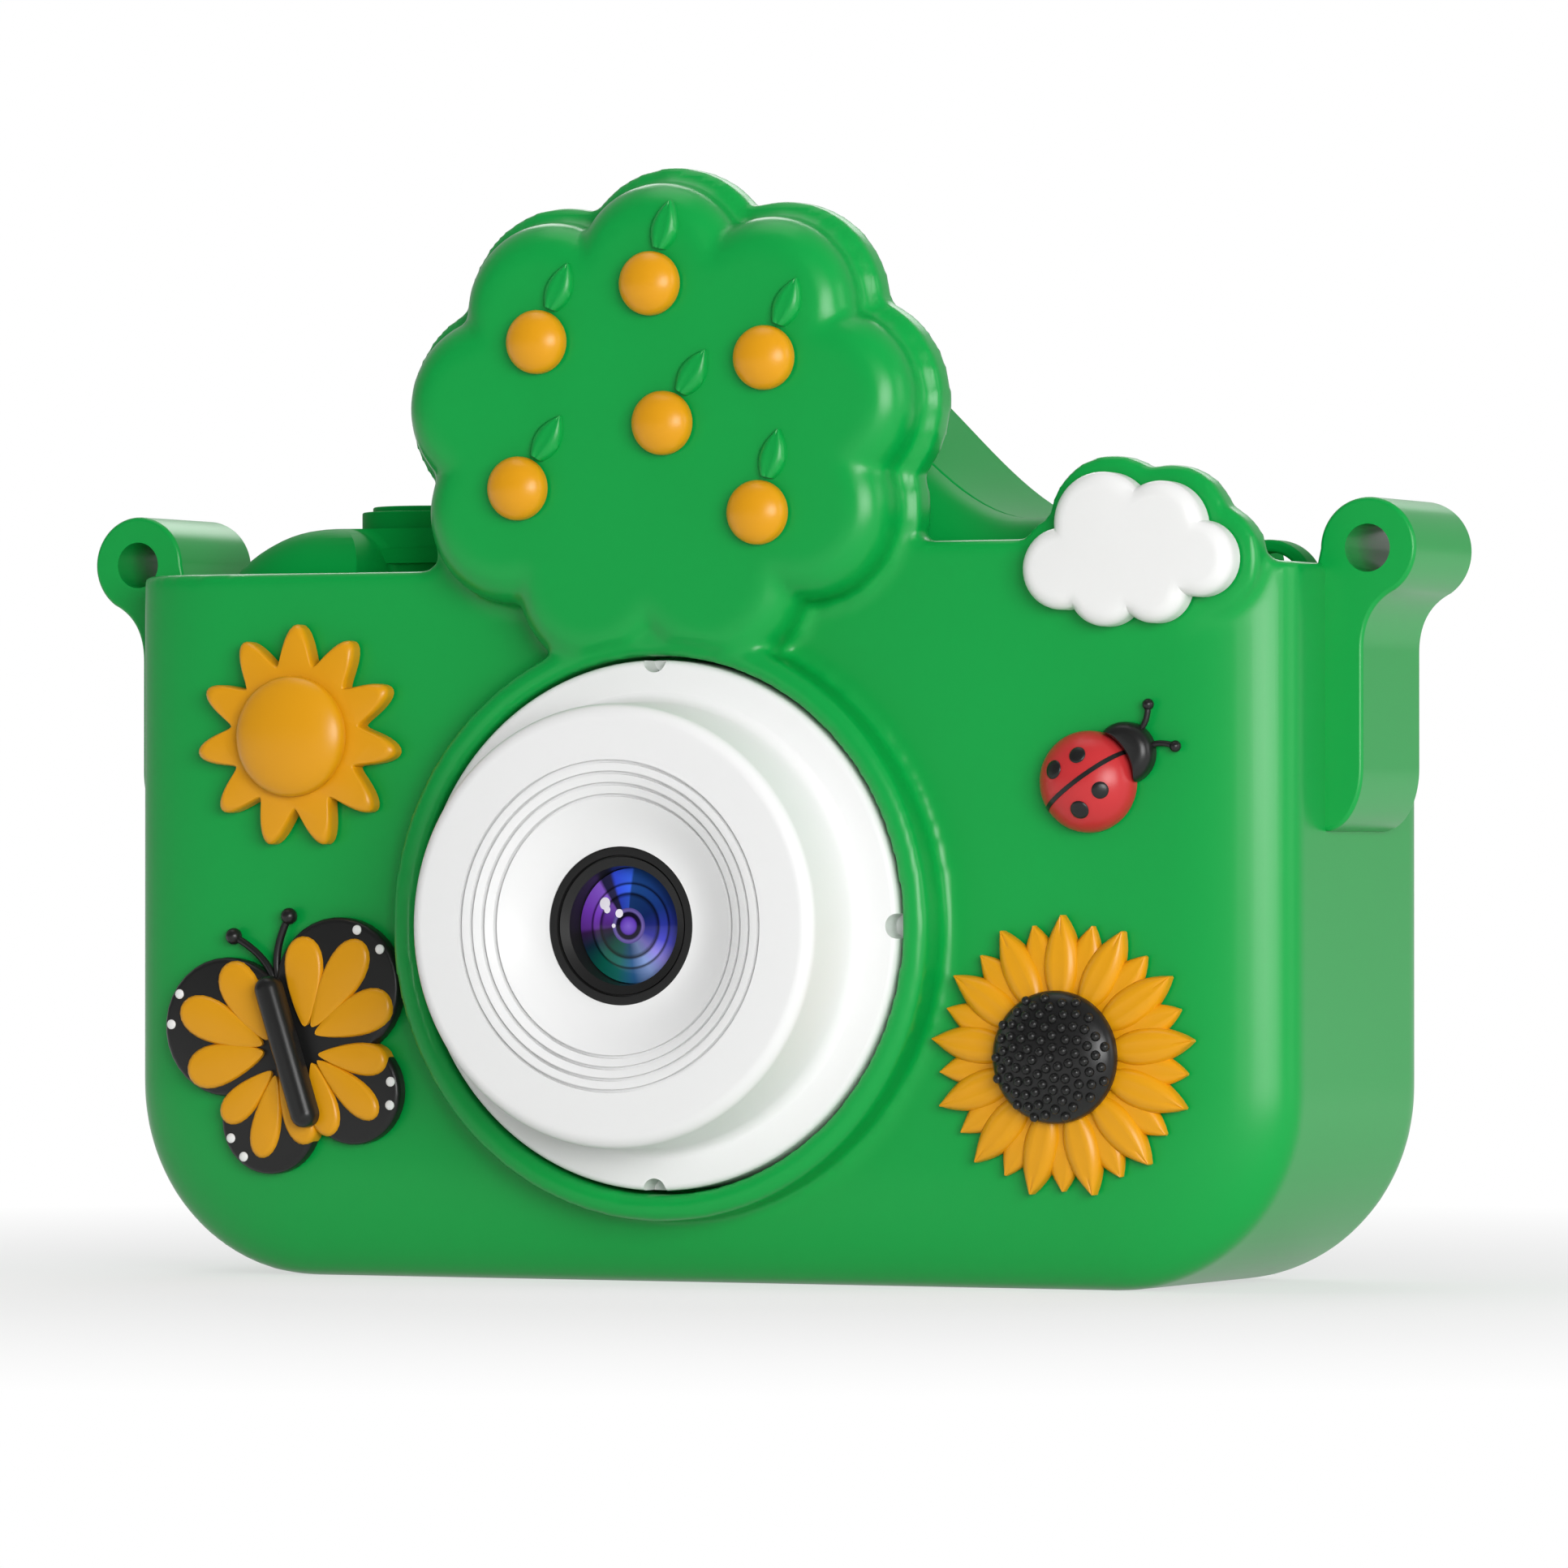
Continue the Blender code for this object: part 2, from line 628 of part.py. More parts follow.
def ear(side):
    """One ear with its rib, on the side wall. Side is 1 on the right and -1 on the left."""
    centre = EAR_SPACING / 2
    inner, outer = HALF - SLEEVE_WALL / 2, HALF + RIB_STAND
    low = EAR_HEIGHT - RIB_LENGTH
    outline = [(inner, low - RIB_TAPER / 3)]
    outline += [(HALF + RIB_STAND * math.sin(a), low + RIB_TAPER * (1 - math.cos(a)))
                for a in (math.radians(90 * i / CORNER_STEPS) for i in range(CORNER_STEPS + 1))]
    outline += [(outer, EAR_HEIGHT - EAR_RADIUS * 1.9), (outer + RIB_FILLET / 5, EAR_HEIGHT - EAR_RADIUS * 1.5)]
    outline += arc(centre, EAR_HEIGHT, EAR_RADIUS, -56, 180, 3 * CORNER_STEPS)
    outline += [(inner, EAR_HEIGHT - EAR_RADIUS)]
    front = FRONT + EAR_SETBACK
    name = "right" if side > 0 else "left"
    return prism(f"{name}_ear", [(side * x, z) for x, z in outline], front, front + EAR_LENGTH)


def make_sleeve():
    headroom = SLEEVE_TOP + 2 * FRONT_ROUND
    sleeve = layered("silicone_sleeve", sleeve_rings(headroom), GREEN_SILICONE)
    room = prism("sleeve_room", sleeve_outline(SLEEVE_WALL, headroom + PAST),
                 FRONT + SLEEVE_WALL, REAR - LIP_THICKNESS)
    rounded_ends(room, FRONT_ROUND - SLEEVE_WALL, 0)
    window = prism("sleeve_rear_window", rectangle(-PANEL_HALF - FIT, PANEL_BASE - FIT,
                                                   PANEL_HALF + FIT, headroom + PAST), 0, REAR + PAST)
    above = block("sleeve_top_cut", (-HALF - PAST, FRONT - PAST, SLEEVE_TOP),
                  (HALF + PAST, REAR + PAST, headroom + 2 * PAST))
    cut(sleeve, room, window, above)
    back = FRONT + SLEEVE_WALL
    join(sleeve, prism("crest_plate", lobed(crown_lobes(CREST_MARGIN)), FRONT, back),
         prism("cloud_plate", lobed(cloud_lobes(CREST_MARGIN)), FRONT, back),
         prism("saddle_plate", rectangle(CROWN_X, SLEEVE_TOP - OVERLAP, CLOUD_X, SLEEVE_TOP + SADDLE_RISE),
               FRONT, back))
    crown = prism("crown_relief", lobed(crown_lobes(0)), CROWN_FRONT, FRONT + OVERLAP)
    rounded_ends(crown, CROWN_ROUND, 0, segments=3)
    centre = (LENS_X, FRONT + OVERLAP, LENS_HEIGHT)
    cut(crown, rod("crown_trim", COLLAR_RADIUS - OVERLAP, (LENS_X, FRONT + PAST, LENS_HEIGHT),
                   2 * PAST + CROWN_RELIEF, FORWARD, steps=LENS_STEPS))
    edge = COLLAR_WIDTH / 3
    rise = COLLAR_RISE + OVERLAP
    collar = turned("collar", [(COLLAR_RADIUS - edge, rise), (COLLAR_RADIUS, rise - edge),
                               (COLLAR_RADIUS, 0), (COLLAR_INNER - OVERLAP, 0),
                               (COLLAR_INNER - OVERLAP, rise)], centre)
    join(sleeve, crown, collar, ear(1), ear(-1))
    cut(sleeve, rod("lens_opening", COLLAR_INNER, (LENS_X, FRONT + 2 * PAST, LENS_HEIGHT),
                    4 * PAST, FORWARD, steps=LENS_STEPS))
    for side in (-1, 1):
        cut(sleeve, rod(f"ear_bore_{side + 1}", EAR_BORE_RADIUS,
                        (side * EAR_SPACING / 2, FRONT + EAR_SETBACK + EAR_LENGTH + PAST, EAR_HEIGHT),
                        EAR_LENGTH + 2 * PAST, FORWARD))
    cut(sleeve, block("port_window", (-HALF - PAST, *port_window()[0]),
                      (-CAMERA_HALF, *port_window()[1])))
    return smooth(sleeve)


def port_window():
    """Low and high (y, z) corners of the opening in the sleeve's left wall."""
    tall = max(USB_WIDTH, CARD_WIDTH) / 2 + PORT_WINDOW_MARGIN
    low = MAIN_FRONT - card_stack() - PORT_WINDOW_MARGIN
    high = MAIN_REAR + FIT + USB_THICKNESS + PORT_WINDOW_MARGIN
    return (low, PORT_HEIGHT - tall), (high, PORT_HEIGHT + tall)


def card_stack():
    """Thickness of the card socket on the main board's front face, with its gap."""
    return FIT + 2 * SOCKET_WALL + 2 * FIT + CARD_THICKNESS


def screw_places():
    return [(side * SCREW_X, height) for height in (SCREW_LOW, SCREW_HIGH) for side in (-1, 1)]


def make_front_housing():
    housing = prism("front_housing", camera_outline(0), CAMERA_FRONT, PARTING - FIT / 2,
                    material=GREEN_PLASTIC)
    rounded_ends(housing, CAMERA_ROUND, 0, segments=3)
    room = prism("front_room", camera_outline(HOUSING_WALL), INNER_FRONT, PARTING + PAST)
    rounded_ends(room, CAMERA_ROUND - HOUSING_WALL, 0, segments=3)
    cut(housing, room)
    middle = HOUSING_WALL / 2
    limit = prism("boss_limit", camera_outline(middle), CAMERA_FRONT + middle, PARTING + PAST)
    rounded_ends(limit, CAMERA_ROUND - middle, 0, segments=3)
    for i, (x, z) in enumerate(screw_places()):
        boss = rod(f"screw_boss_{i}", TOWER_RADIUS, (x, PARTING - FIT / 2, z), PARTING_FROM_FRONT + PAST, FORWARD)
        join(housing, boolean(boss, limit, "INTERSECT"))
    for i, (x, z) in enumerate(board_posts()):
        join(housing, rod(f"board_post_{i}", POST_RADIUS, (x, MAIN_FRONT - FIT, z),
                          MAIN_FRONT - FIT - INNER_FRONT + OVERLAP, FORWARD))
    for i, (x, z) in enumerate(screw_places()):
        cut(housing, rod(f"screw_hole_{i}", SCREW_SHANK_RADIUS + FIT,
                         (x, PARTING + PAST, z), SCREW_BITE + FIT + PAST, FORWARD))
    cut(housing, rod("holder_hole", HOLDER_RADIUS + FIT, (LENS_X, INNER_FRONT + PAST, LENS_HEIGHT),
                     HOUSING_WALL + 2 * PAST, FORWARD, steps=BUTTON_STEPS))
    return smooth(housing)


def board_posts():
    """Posts of the front housing that carry the main board."""
    inset = 2 * POST_RADIUS
    left = MAIN_LEFT + USB_LENGTH + CARD_LENGTH
    right = LENS_X + (SENSOR_BOARD + HOLDER_BASE) / 4 + BATTERY_GAP / 2
    return [(x, z) for z in (MAIN_BOARD_BASE + inset, MAIN_TOP - inset) for x in (left, right)]


def rear_buttons():
    """Each rear button's name, place and radius."""
    return [("up_button", PAD_X, PAD_HEIGHT + PAD_REACH, PAD_BUTTON_RADIUS),
            ("down_button", PAD_X, PAD_HEIGHT - PAD_REACH, PAD_BUTTON_RADIUS),
            ("left_button", PAD_X + PAD_REACH, PAD_HEIGHT, PAD_BUTTON_RADIUS),
            ("right_button", PAD_X - PAD_REACH, PAD_HEIGHT, PAD_BUTTON_RADIUS),
            ("ok_button", PAD_X, PAD_HEIGHT, OK_BUTTON_RADIUS),
            ("mode_button", PAD_X + MENU_ROW_REACH, MENU_ROW_HEIGHT, MENU_BUTTON_RADIUS),
            ("playback_button", PAD_X - MENU_ROW_REACH, MENU_ROW_HEIGHT, MENU_BUTTON_RADIUS)]


def top_buttons():
    """Each top button's name, place, radius, height above the housing, and its step's width and height."""
    return [("shutter", SHUTTER_X, SHUTTER_RADIUS, SHUTTER_PROUD, SHUTTER_STEP, SHUTTER_STEP_HEIGHT),
            ("power", POWER_X, POWER_RADIUS, POWER_PROUD, BUTTON_EDGE, BUTTON_EDGE)]


def window_box(grow, low, high, name):
    """A box on the screen's middle, as large as the window and a margin."""
    across, tall = WINDOW_WIDTH / 2 + grow, WINDOW_TALL / 2 + grow
    return block(name, (SCREEN_X - across, low, SCREEN_HEIGHT - tall),
                 (SCREEN_X + across, high, SCREEN_HEIGHT + tall))


def make_rear_housing():
    housing = prism("rear_housing", camera_outline(0), PARTING + FIT / 2, CAMERA_REAR,
                    material=GREEN_PLASTIC)
    rounded_ends(housing, 0, HOUSING_EDGE, segments=2)
    panel = prism("rear_panel", rectangle(-PANEL_HALF, PANEL_BASE, PANEL_HALF, PANEL_TOP),
                  CAMERA_REAR - OVERLAP, PANEL_REAR)
    rounded_ends(panel, 0, HOUSING_EDGE / 2, segments=2)
    room = prism("rear_room", camera_outline(HOUSING_WALL), PARTING - PAST, INNER_REAR)
    behind = prism("panel_room", rectangle(-PANEL_HALF + HOUSING_WALL, PANEL_BASE + HOUSING_WALL,
                                           PANEL_HALF - HOUSING_WALL, PANEL_TOP - HOUSING_WALL),
                   INNER_REAR - OVERLAP, PANEL_INNER)
    join(housing, panel)
    cut(housing, room, behind)
    for i, (x, z) in enumerate(screw_places()):
        join(housing, rod(f"screw_tower_{i}", TOWER_RADIUS, (x, INNER_REAR + OVERLAP, z),
                          INNER_REAR + OVERLAP - PARTING - FIT / 2, FORWARD))
    for i, (x, z) in enumerate(screw_places()):
        cut(housing, rod(f"tower_bore_{i}", SCREW_SHANK_RADIUS + FIT, (x, CAMERA_REAR + PAST, z),
                         CAMERA_REAR - PARTING + 2 * PAST, FORWARD),
            rod(f"head_recess_{i}", SCREW_HEAD_RADIUS + FIT, (x, CAMERA_REAR + PAST, z),
                CAMERA_REAR + PAST - HEAD_SEAT + FIT, FORWARD))
    low, high = MAIN_REAR, PANEL_INNER + OVERLAP
    for name, x, radius, _, _, _ in top_buttons():
        reach = SWITCH_SIDE / 2 + SWITCH_BOARD_MARGIN / 2
        join(housing, block(f"{name}_shelf", (x - reach, TOP_BUTTON_Y + SWITCH_BOARD_DEPTH / 4,
                                              SHELF_TOP - LEDGE_HEIGHT),
                            (x + reach, high, SHELF_TOP)))
        cut(housing, rod(f"{name}_hole", radius + FIT, (x, TOP_BUTTON_Y, INNER_TOP - OVERLAP),
                         2 * HOUSING_WALL, UPWARD, steps=BUTTON_STEPS))
    for name, x, z, radius in rear_buttons():
        cut(housing, rod(f"{name}_hole", radius + FIT, (x, PANEL_INNER - OVERLAP, z),
                         2 * HOUSING_WALL, BACKWARD))
    cut(housing, window_box(FIT, PANEL_REAR - WINDOW_THICKNESS - FIT, PANEL_REAR + PAST, "window_seat"),
        window_box(-WINDOW_LEDGE, low, PANEL_REAR + PAST, "screen_opening"))
    cut(housing, rod("rear_lens_hole", REAR_RING_RADIUS - REAR_RING_WALL + FIT,
                     (0, INNER_REAR - PAST, REAR_LENS_HEIGHT), HOUSING_WALL + 2 * PAST, BACKWARD))
    cut(housing, prism("usb_hole", stadium(MAIN_REAR + FIT + USB_THICKNESS / 2, PORT_HEIGHT,
                                           USB_THICKNESS + 2 * FIT, USB_WIDTH + 2 * FIT),
                       -CAMERA_HALF - PAST, -INNER_HALF + OVERLAP, ALONG_X),
        block("card_hole", (-CAMERA_HALF - PAST, card_front() - FIT, PORT_HEIGHT - CARD_WIDTH / 2 - FIT),
              (-INNER_HALF + OVERLAP, card_front() + CARD_THICKNESS + FIT,
               PORT_HEIGHT + CARD_WIDTH / 2 + FIT)))
    join(housing, strap_bar())
    return smooth(housing)


def card_front():
    """The front face of the memory card, in its socket on the main board's front."""
    return MAIN_FRONT - FIT - SOCKET_WALL - FIT - CARD_THICKNESS


def strap_bar():
    """The thin arch across the housing's notch, where a strap would be looped."""
    x, z = CAMERA_HALF - STRAP_INSET, CAMERA_TOP - STRAP_DROP - STRAP_RADIUS
    foot = CAMERA_TOP - STRAP_NOTCH_DROP - HOUSING_WALL / 2
    turn = math.degrees(math.asin((z - foot) / STRAP_RADIUS))
    outer = arc(x, z, STRAP_RADIUS, -turn, 180 + turn, 2 * CORNER_STEPS)
    inner = arc(x, z, STRAP_RADIUS - STRAP_BAR, 180 + turn, -turn, 2 * CORNER_STEPS)
    return prism("strap_bar", outer + inner, TOP_BUTTON_Y, TOP_BUTTON_Y + STRAP_BAR_DEPTH)


def make_lens():
    axis = (LENS_X, 0, LENS_HEIGHT)
    seat = -(CAMERA_FRONT - FIT)
    edge = RING_WIDTH / 4
    inner = RING_RADIUS - RING_WIDTH
    ring = turned("lens_base_ring", [(RING_RADIUS - edge, -RING_FRONT), (RING_RADIUS, -RING_FRONT - edge),
                                     (RING_RADIUS, seat), (inner, seat), (inner, -RING_FRONT)],
                  axis, material=WHITE_PLASTIC)
    for i in range(4):
        angle = math.radians(90 * i)
        cut(ring, rod(f"ring_notch_{i}", RING_NOTCH,
                      (LENS_X + RING_RADIUS * math.cos(angle), RING_FRONT + RING_WIDTH,
                       LENS_HEIGHT + RING_RADIUS * math.sin(angle)), 2 * RING_WIDTH, FORWARD))
    make_barrel(axis, seat)
    bore = BEZEL_RADIUS - BEZEL_WALL
    step = BEZEL_WALL / 3
    front, rear = -BEZEL_FRONT, -BEZEL_REAR
    turned("lens_bezel", [(BEZEL_RADIUS - step, front), (BEZEL_RADIUS, front - step),
                          (BEZEL_RADIUS, rear), (bore, rear), (bore, front - 2 * step),
                          (bore + step, front - 2 * step), (bore + step, front)],
           axis, material=BLACK_PLASTIC)
    glass = front - 2 * step - FIT
    radius = bore - FIT
    steps = 4
    crown = [(radius * i / steps, glass - GLASS_CROWN * (i / steps) ** 2) for i in range(steps + 1)]
    back = glass - GLASS_THICKNESS
    turned("front_lens", crown + [(radius, back), (0, back)], axis, material=COATED_GLASS)
    second = back - FIT
    turned("second_lens", [(0, second), (radius, second - GLASS_CROWN / 2),
                           (radius, second - ELEMENT_THICKNESS), (0, second - ELEMENT_THICKNESS)],
           axis, material=COATED_GLASS)


def make_barrel(axis, seat):
    """The white barrel: a cup that opens to the rear, with a dished front round the bezel."""
    front = -BARREL_FRONT
    rim = BARREL_RADIUS - BARREL_TAPER
    bore = BEZEL_RADIUS + FIT
    floor = front - DISH_DEPTH
    inside = BARREL_RADIUS - BARREL_TAPER - BARREL_WALL
    back = -HOLDER_FRONT + FIT + OVERLAP
    corner = [(rim - BARREL_RIM + BARREL_RIM * math.sin(math.radians(a)),
               front - BARREL_RIM + BARREL_RIM * math.cos(math.radians(a))) for a in (0, 30, 60, 90)]
    profile = corner + [(BARREL_RADIUS, -RING_FRONT), (BARREL_RADIUS, seat), (inside, seat),
                        (inside, back), (bore, back), (bore, floor - CONE_DEPTH),
                        (BEZEL_RADIUS + 2 * DISH_DEPTH + CONE_DEPTH, floor), (DISH_RADIUS, floor)]
    turned("lens_barrel", profile, axis, material=WHITE_PLASTIC)


def make_image_module():
    depth = INNER_FRONT + FIT
    half = HOLDER_BASE / 2
    holder = block("lens_holder", (LENS_X - half, depth, LENS_HEIGHT - half),
                   (LENS_X + half, HOLDER_REAR, LENS_HEIGHT + half), BLACK_PLASTIC)
    join(holder, rod("holder_tube", HOLDER_RADIUS, (LENS_X, depth + OVERLAP, LENS_HEIGHT),
                     depth + OVERLAP - HOLDER_FRONT, FORWARD, steps=BUTTON_STEPS))
    half = SENSOR_BOARD / 2
    block("sensor_board", (LENS_X - half, SENSOR_FRONT, LENS_HEIGHT - half),
          (LENS_X + half, SENSOR_REAR, LENS_HEIGHT + half), BOARD_GREEN)
    near, far, thick = SENSOR_REAR + FIT, MAIN_FRONT - FIT, CABLE_THICKNESS
    top, turn = LENS_HEIGHT + half / 2, LENS_HEIGHT - half / 2
    path = [(near, top), (near, turn), (far - thick, turn - half / 2), (far - thick, MAIN_BOARD_BASE + thick),
            (far, MAIN_BOARD_BASE + thick), (far, turn - half / 2 + thick), (near + thick, turn + thick),
            (near + thick, top)]
    prism("sensor_cable", path, LENS_X - CABLE_WIDTH / 2, LENS_X + CABLE_WIDTH / 2, ALONG_X, CABLE_AMBER)


def make_boards():
    block("main_board", (MAIN_LEFT, MAIN_FRONT, MAIN_BOARD_BASE), (MAIN_BOARD_RIGHT, MAIN_REAR, MAIN_TOP),
          BOARD_GREEN)
    reach = PAD_REACH + PAD_BUTTON_RADIUS + KEY_BOARD_MARGIN
    left, right = PAD_X - reach, min(PAD_X + reach, SCREEN_X - WINDOW_WIDTH / 2 - PANEL_BORDER - FIT)
    low, high = PAD_HEIGHT - reach, MENU_ROW_HEIGHT + MENU_BUTTON_RADIUS + KEY_BOARD_MARGIN
    block("key_board", (left, KEY_FRONT, low), (right, KEY_REAR, high), BOARD_GREEN)
    sheet = block("dome_sheet", (left + FIT, KEY_REAR + FIT, low + FIT), (right - FIT, SHEET_REAR, high - FIT),
                  STEEL)
    for name, x, z, _ in rear_buttons():
        join(sheet, rod(f"{name}_dome", DOME_RADIUS, (x, SHEET_REAR - DOME_SHEET / 2, z),
                        DOME_HEIGHT + DOME_SHEET / 2, BACKWARD))
    left, right = SHUTTER_X - SWITCH_BOARD_MARGIN, POWER_X + SWITCH_BOARD_MARGIN
    near = TOP_BUTTON_Y - SWITCH_BOARD_DEPTH / 2
    block("switch_board", (left, near, TOP_BOARD - BOARD_THICKNESS),
          (right, near + SWITCH_BOARD_DEPTH, TOP_BOARD), BOARD_GREEN)
    for name, x, _, _, _, _ in top_buttons():
        half = SWITCH_SIDE / 2
        block(f"{name}_switch", (x - half, TOP_BUTTON_Y - half, SWITCH_BASE),
              (x + half, TOP_BUTTON_Y + half, SWITCH_TOP), STEEL)


def make_power_and_sound():
    left = LENS_X + HOLDER_BASE / 2 + BATTERY_GAP
    low = BATTERY_BASE
    front = INNER_FRONT + FIT
    block("battery", (left, front, low), (left + BATTERY_WIDTH, front + BATTERY_THICKNESS, low + BATTERY_HEIGHT),
          CELL_FOIL)
    start = (left + BATTERY_WIDTH / 2, front + BATTERY_THICKNESS + FIT + LEAD_RADIUS, LENS_HEIGHT)
    end = (left + BATTERY_WIDTH / 4, MAIN_FRONT - FIT - LEAD_RADIUS, LENS_HEIGHT)
    lead = bpy.data.curves.new("battery_lead", "CURVE")
    lead.dimensions = "3D"
    lead.bevel_depth = LEAD_RADIUS
    lead.bevel_resolution = 2
    lead.use_fill_caps = True
    spline = lead.splines.new("POLY")
    count = 9
    spline.points.add(count - 1)
    for i, point in enumerate(spline.points):
        t = i / (count - 1)
        ease = t * t * (3 - 2 * t)
        point.co = (start[0] + (end[0] - start[0]) * t, start[1] + (end[1] - start[1]) * ease, start[2], 1.0)
    made = bpy.data.objects.new("battery_lead", lead)
    lead.materials.append(LEAD_RED)
    PARTS.objects.link(made)
    made.parent = CENTRE
    rod("loudspeaker", SPEAKER_RADIUS, (PAD_X, front + SPEAKER_THICKNESS, LENS_HEIGHT), SPEAKER_THICKNESS,
        FORWARD, BLACK_PLASTIC, BUTTON_STEPS)
    rod("microphone", MICROPHONE_RADIUS, (0, MAIN_FRONT - FIT, MAIN_TOP - 2 * MICROPHONE_RADIUS),
        MICROPHONE_HEIGHT, FORWARD, STEEL)


def make_ports():
    mouth = -INNER_HALF + FIT
    middle = MAIN_REAR + FIT + USB_THICKNESS / 2
    socket = prism("usb_socket", stadium(middle, PORT_HEIGHT, USB_THICKNESS, USB_WIDTH), mouth,
                   mouth + USB_LENGTH, ALONG_X, STEEL)
    cut(socket, prism("usb_room", stadium(middle, PORT_HEIGHT, USB_THICKNESS - 2 * USB_SHELL,
                                          USB_WIDTH - 2 * USB_SHELL),
                      mouth - PAST, mouth + USB_LENGTH - 2 * USB_SHELL, ALONG_X))
    across = USB_WIDTH / 2 - 3 * USB_SHELL
    join(socket, block("usb_tongue", (mouth + USB_SHELL, middle - USB_TONGUE / 2, PORT_HEIGHT - across),
                       (mouth + USB_LENGTH - USB_SHELL, middle + USB_TONGUE / 2, PORT_HEIGHT + across)))
    near, tall = card_front(), CARD_WIDTH / 2
    end = -CAMERA_HALF + CARD_GRIP / 2 + CARD_LENGTH
    wall = SOCKET_WALL
    holder = block("card_socket", (mouth, near - FIT - wall, PORT_HEIGHT - tall - FIT - wall),
                   (end + FIT + wall, MAIN_FRONT - FIT, PORT_HEIGHT + tall + FIT + wall), STEEL)
    cut(holder, block("card_room", (mouth - PAST, near - FIT, PORT_HEIGHT - tall - FIT),
                      (end + FIT, near + CARD_THICKNESS + FIT, PORT_HEIGHT + tall + FIT)))
    block("memory_card", (end - CARD_LENGTH, near, PORT_HEIGHT - tall),
          (end, near + CARD_THICKNESS, PORT_HEIGHT + tall), BLACK_PLASTIC)


def make_screen():
    across, tall = WINDOW_WIDTH / 2, WINDOW_TALL / 2
    block("display_window", (SCREEN_X - across, PANEL_REAR - WINDOW_THICKNESS, SCREEN_HEIGHT - tall),
          (SCREEN_X + across, PANEL_REAR, SCREEN_HEIGHT + tall), WINDOW_GLASS)
    rear = PANEL_INNER - FIT
    across, tall = across + PANEL_BORDER, tall + PANEL_BORDER
    block("display_panel", (SCREEN_X - across, rear - DISPLAY_THICKNESS, SCREEN_HEIGHT - tall),
          (SCREEN_X + across, rear, SCREEN_HEIGHT + tall), BLACK_PLASTIC)


def button_profile(radius, proud, edge, drop):
    """A cap that stands proud of the wall at height 0, with a flange behind the wall."""
    under = -HOUSING_WALL - FIT
    step = [(radius - edge, proud - drop)] * (drop < edge)
    return [(0, proud), (radius - edge, proud), *step, (radius, proud - drop), (radius, under),
            (radius + BUTTON_FLANGE, under), (radius + BUTTON_FLANGE, under - FLANGE_THICKNESS),
            (0, under - FLANGE_THICKNESS)]


def make_buttons():
    for name, x, z, radius in rear_buttons():
        turned(name, button_profile(radius, BUTTON_PROUD, BUTTON_EDGE, BUTTON_EDGE),
               (x, PANEL_REAR, z), BACKWARD, WHITE_PLASTIC, SMALL_STEPS)
    for name, x, radius, proud, step, drop in top_buttons():
        turned(f"{name}_button", button_profile(radius, proud, step, drop),
               (x, TOP_BUTTON_Y, CAMERA_TOP), UPWARD, GREEN_PLASTIC, BUTTON_STEPS)


def make_rear_lens():
    axis = (0, CAMERA_REAR + FIT, REAR_LENS_HEIGHT)
    bore = REAR_RING_RADIUS - REAR_RING_WALL
    edge = REAR_RING_WALL / 4
    turned("rear_lens_ring", [(REAR_RING_RADIUS - edge, REAR_RING_RISE), (REAR_RING_RADIUS, REAR_RING_RISE - edge),
                              (REAR_RING_RADIUS, 0), (bore, 0), (bore, REAR_RING_RISE)],
           axis, BACKWARD, BLACK_PLASTIC, BUTTON_STEPS)
    radius = bore - FIT
    rod("rear_lens_window", radius, (0, axis[1] + REAR_RING_RISE / 3, REAR_LENS_HEIGHT), REAR_RING_RISE / 3,
        BACKWARD, COATED_GLASS, BUTTON_STEPS)
    half = REAR_MODULE_SIDE / 2
    back = INNER_REAR - FIT
    module = block("rear_camera", (-half, back - REAR_MODULE_THICKNESS, REAR_LENS_HEIGHT - half),
                   (half, back, REAR_LENS_HEIGHT + half), BLACK_PLASTIC)
    join(module, rod("rear_camera_tube", radius, (0, back - OVERLAP, REAR_LENS_HEIGHT),
                     CAMERA_REAR + REAR_RING_RISE / 3 - back + OVERLAP, BACKWARD))


def make_screws():
    for i, (x, z) in enumerate(screw_places()):
        length = HEAD_SEAT - (PARTING - FIT / 2 - SCREW_BITE)
        turned(f"housing_screw_{i + 1}", [(0, SCREW_HEAD), (SCREW_HEAD_RADIUS, SCREW_HEAD), (SCREW_HEAD_RADIUS, 0),
                                          (SCREW_SHANK_RADIUS, 0), (SCREW_SHANK_RADIUS, -length), (0, -length)],
               (x, HEAD_SEAT, z), BACKWARD, STEEL, SMALL_STEPS)


def wavy(inner, outer, count, sharpness):
    """A ring of rounded points, such as petals or rays, as a closed outline."""
    steps = 6
    total = count * steps
    outline = []
    for i in range(total):
        angle = 2 * math.pi * i / total
        lift = abs(math.cos(count * angle / 2)) ** sharpness
        radius = inner + (outer - inner) * lift
        outline.append((radius * math.sin(angle), radius * math.cos(angle)))
    return outline


def inlay(name, outline, back, thickness, material, edge=INLAY_EDGE):
    """A flat inlay with softened front edges, lying on the plane y = back."""
    made = prism(name, outline, back - thickness, back, material=material)
    rounded_ends(made, edge, 0, segments=2)
    return smooth(made)


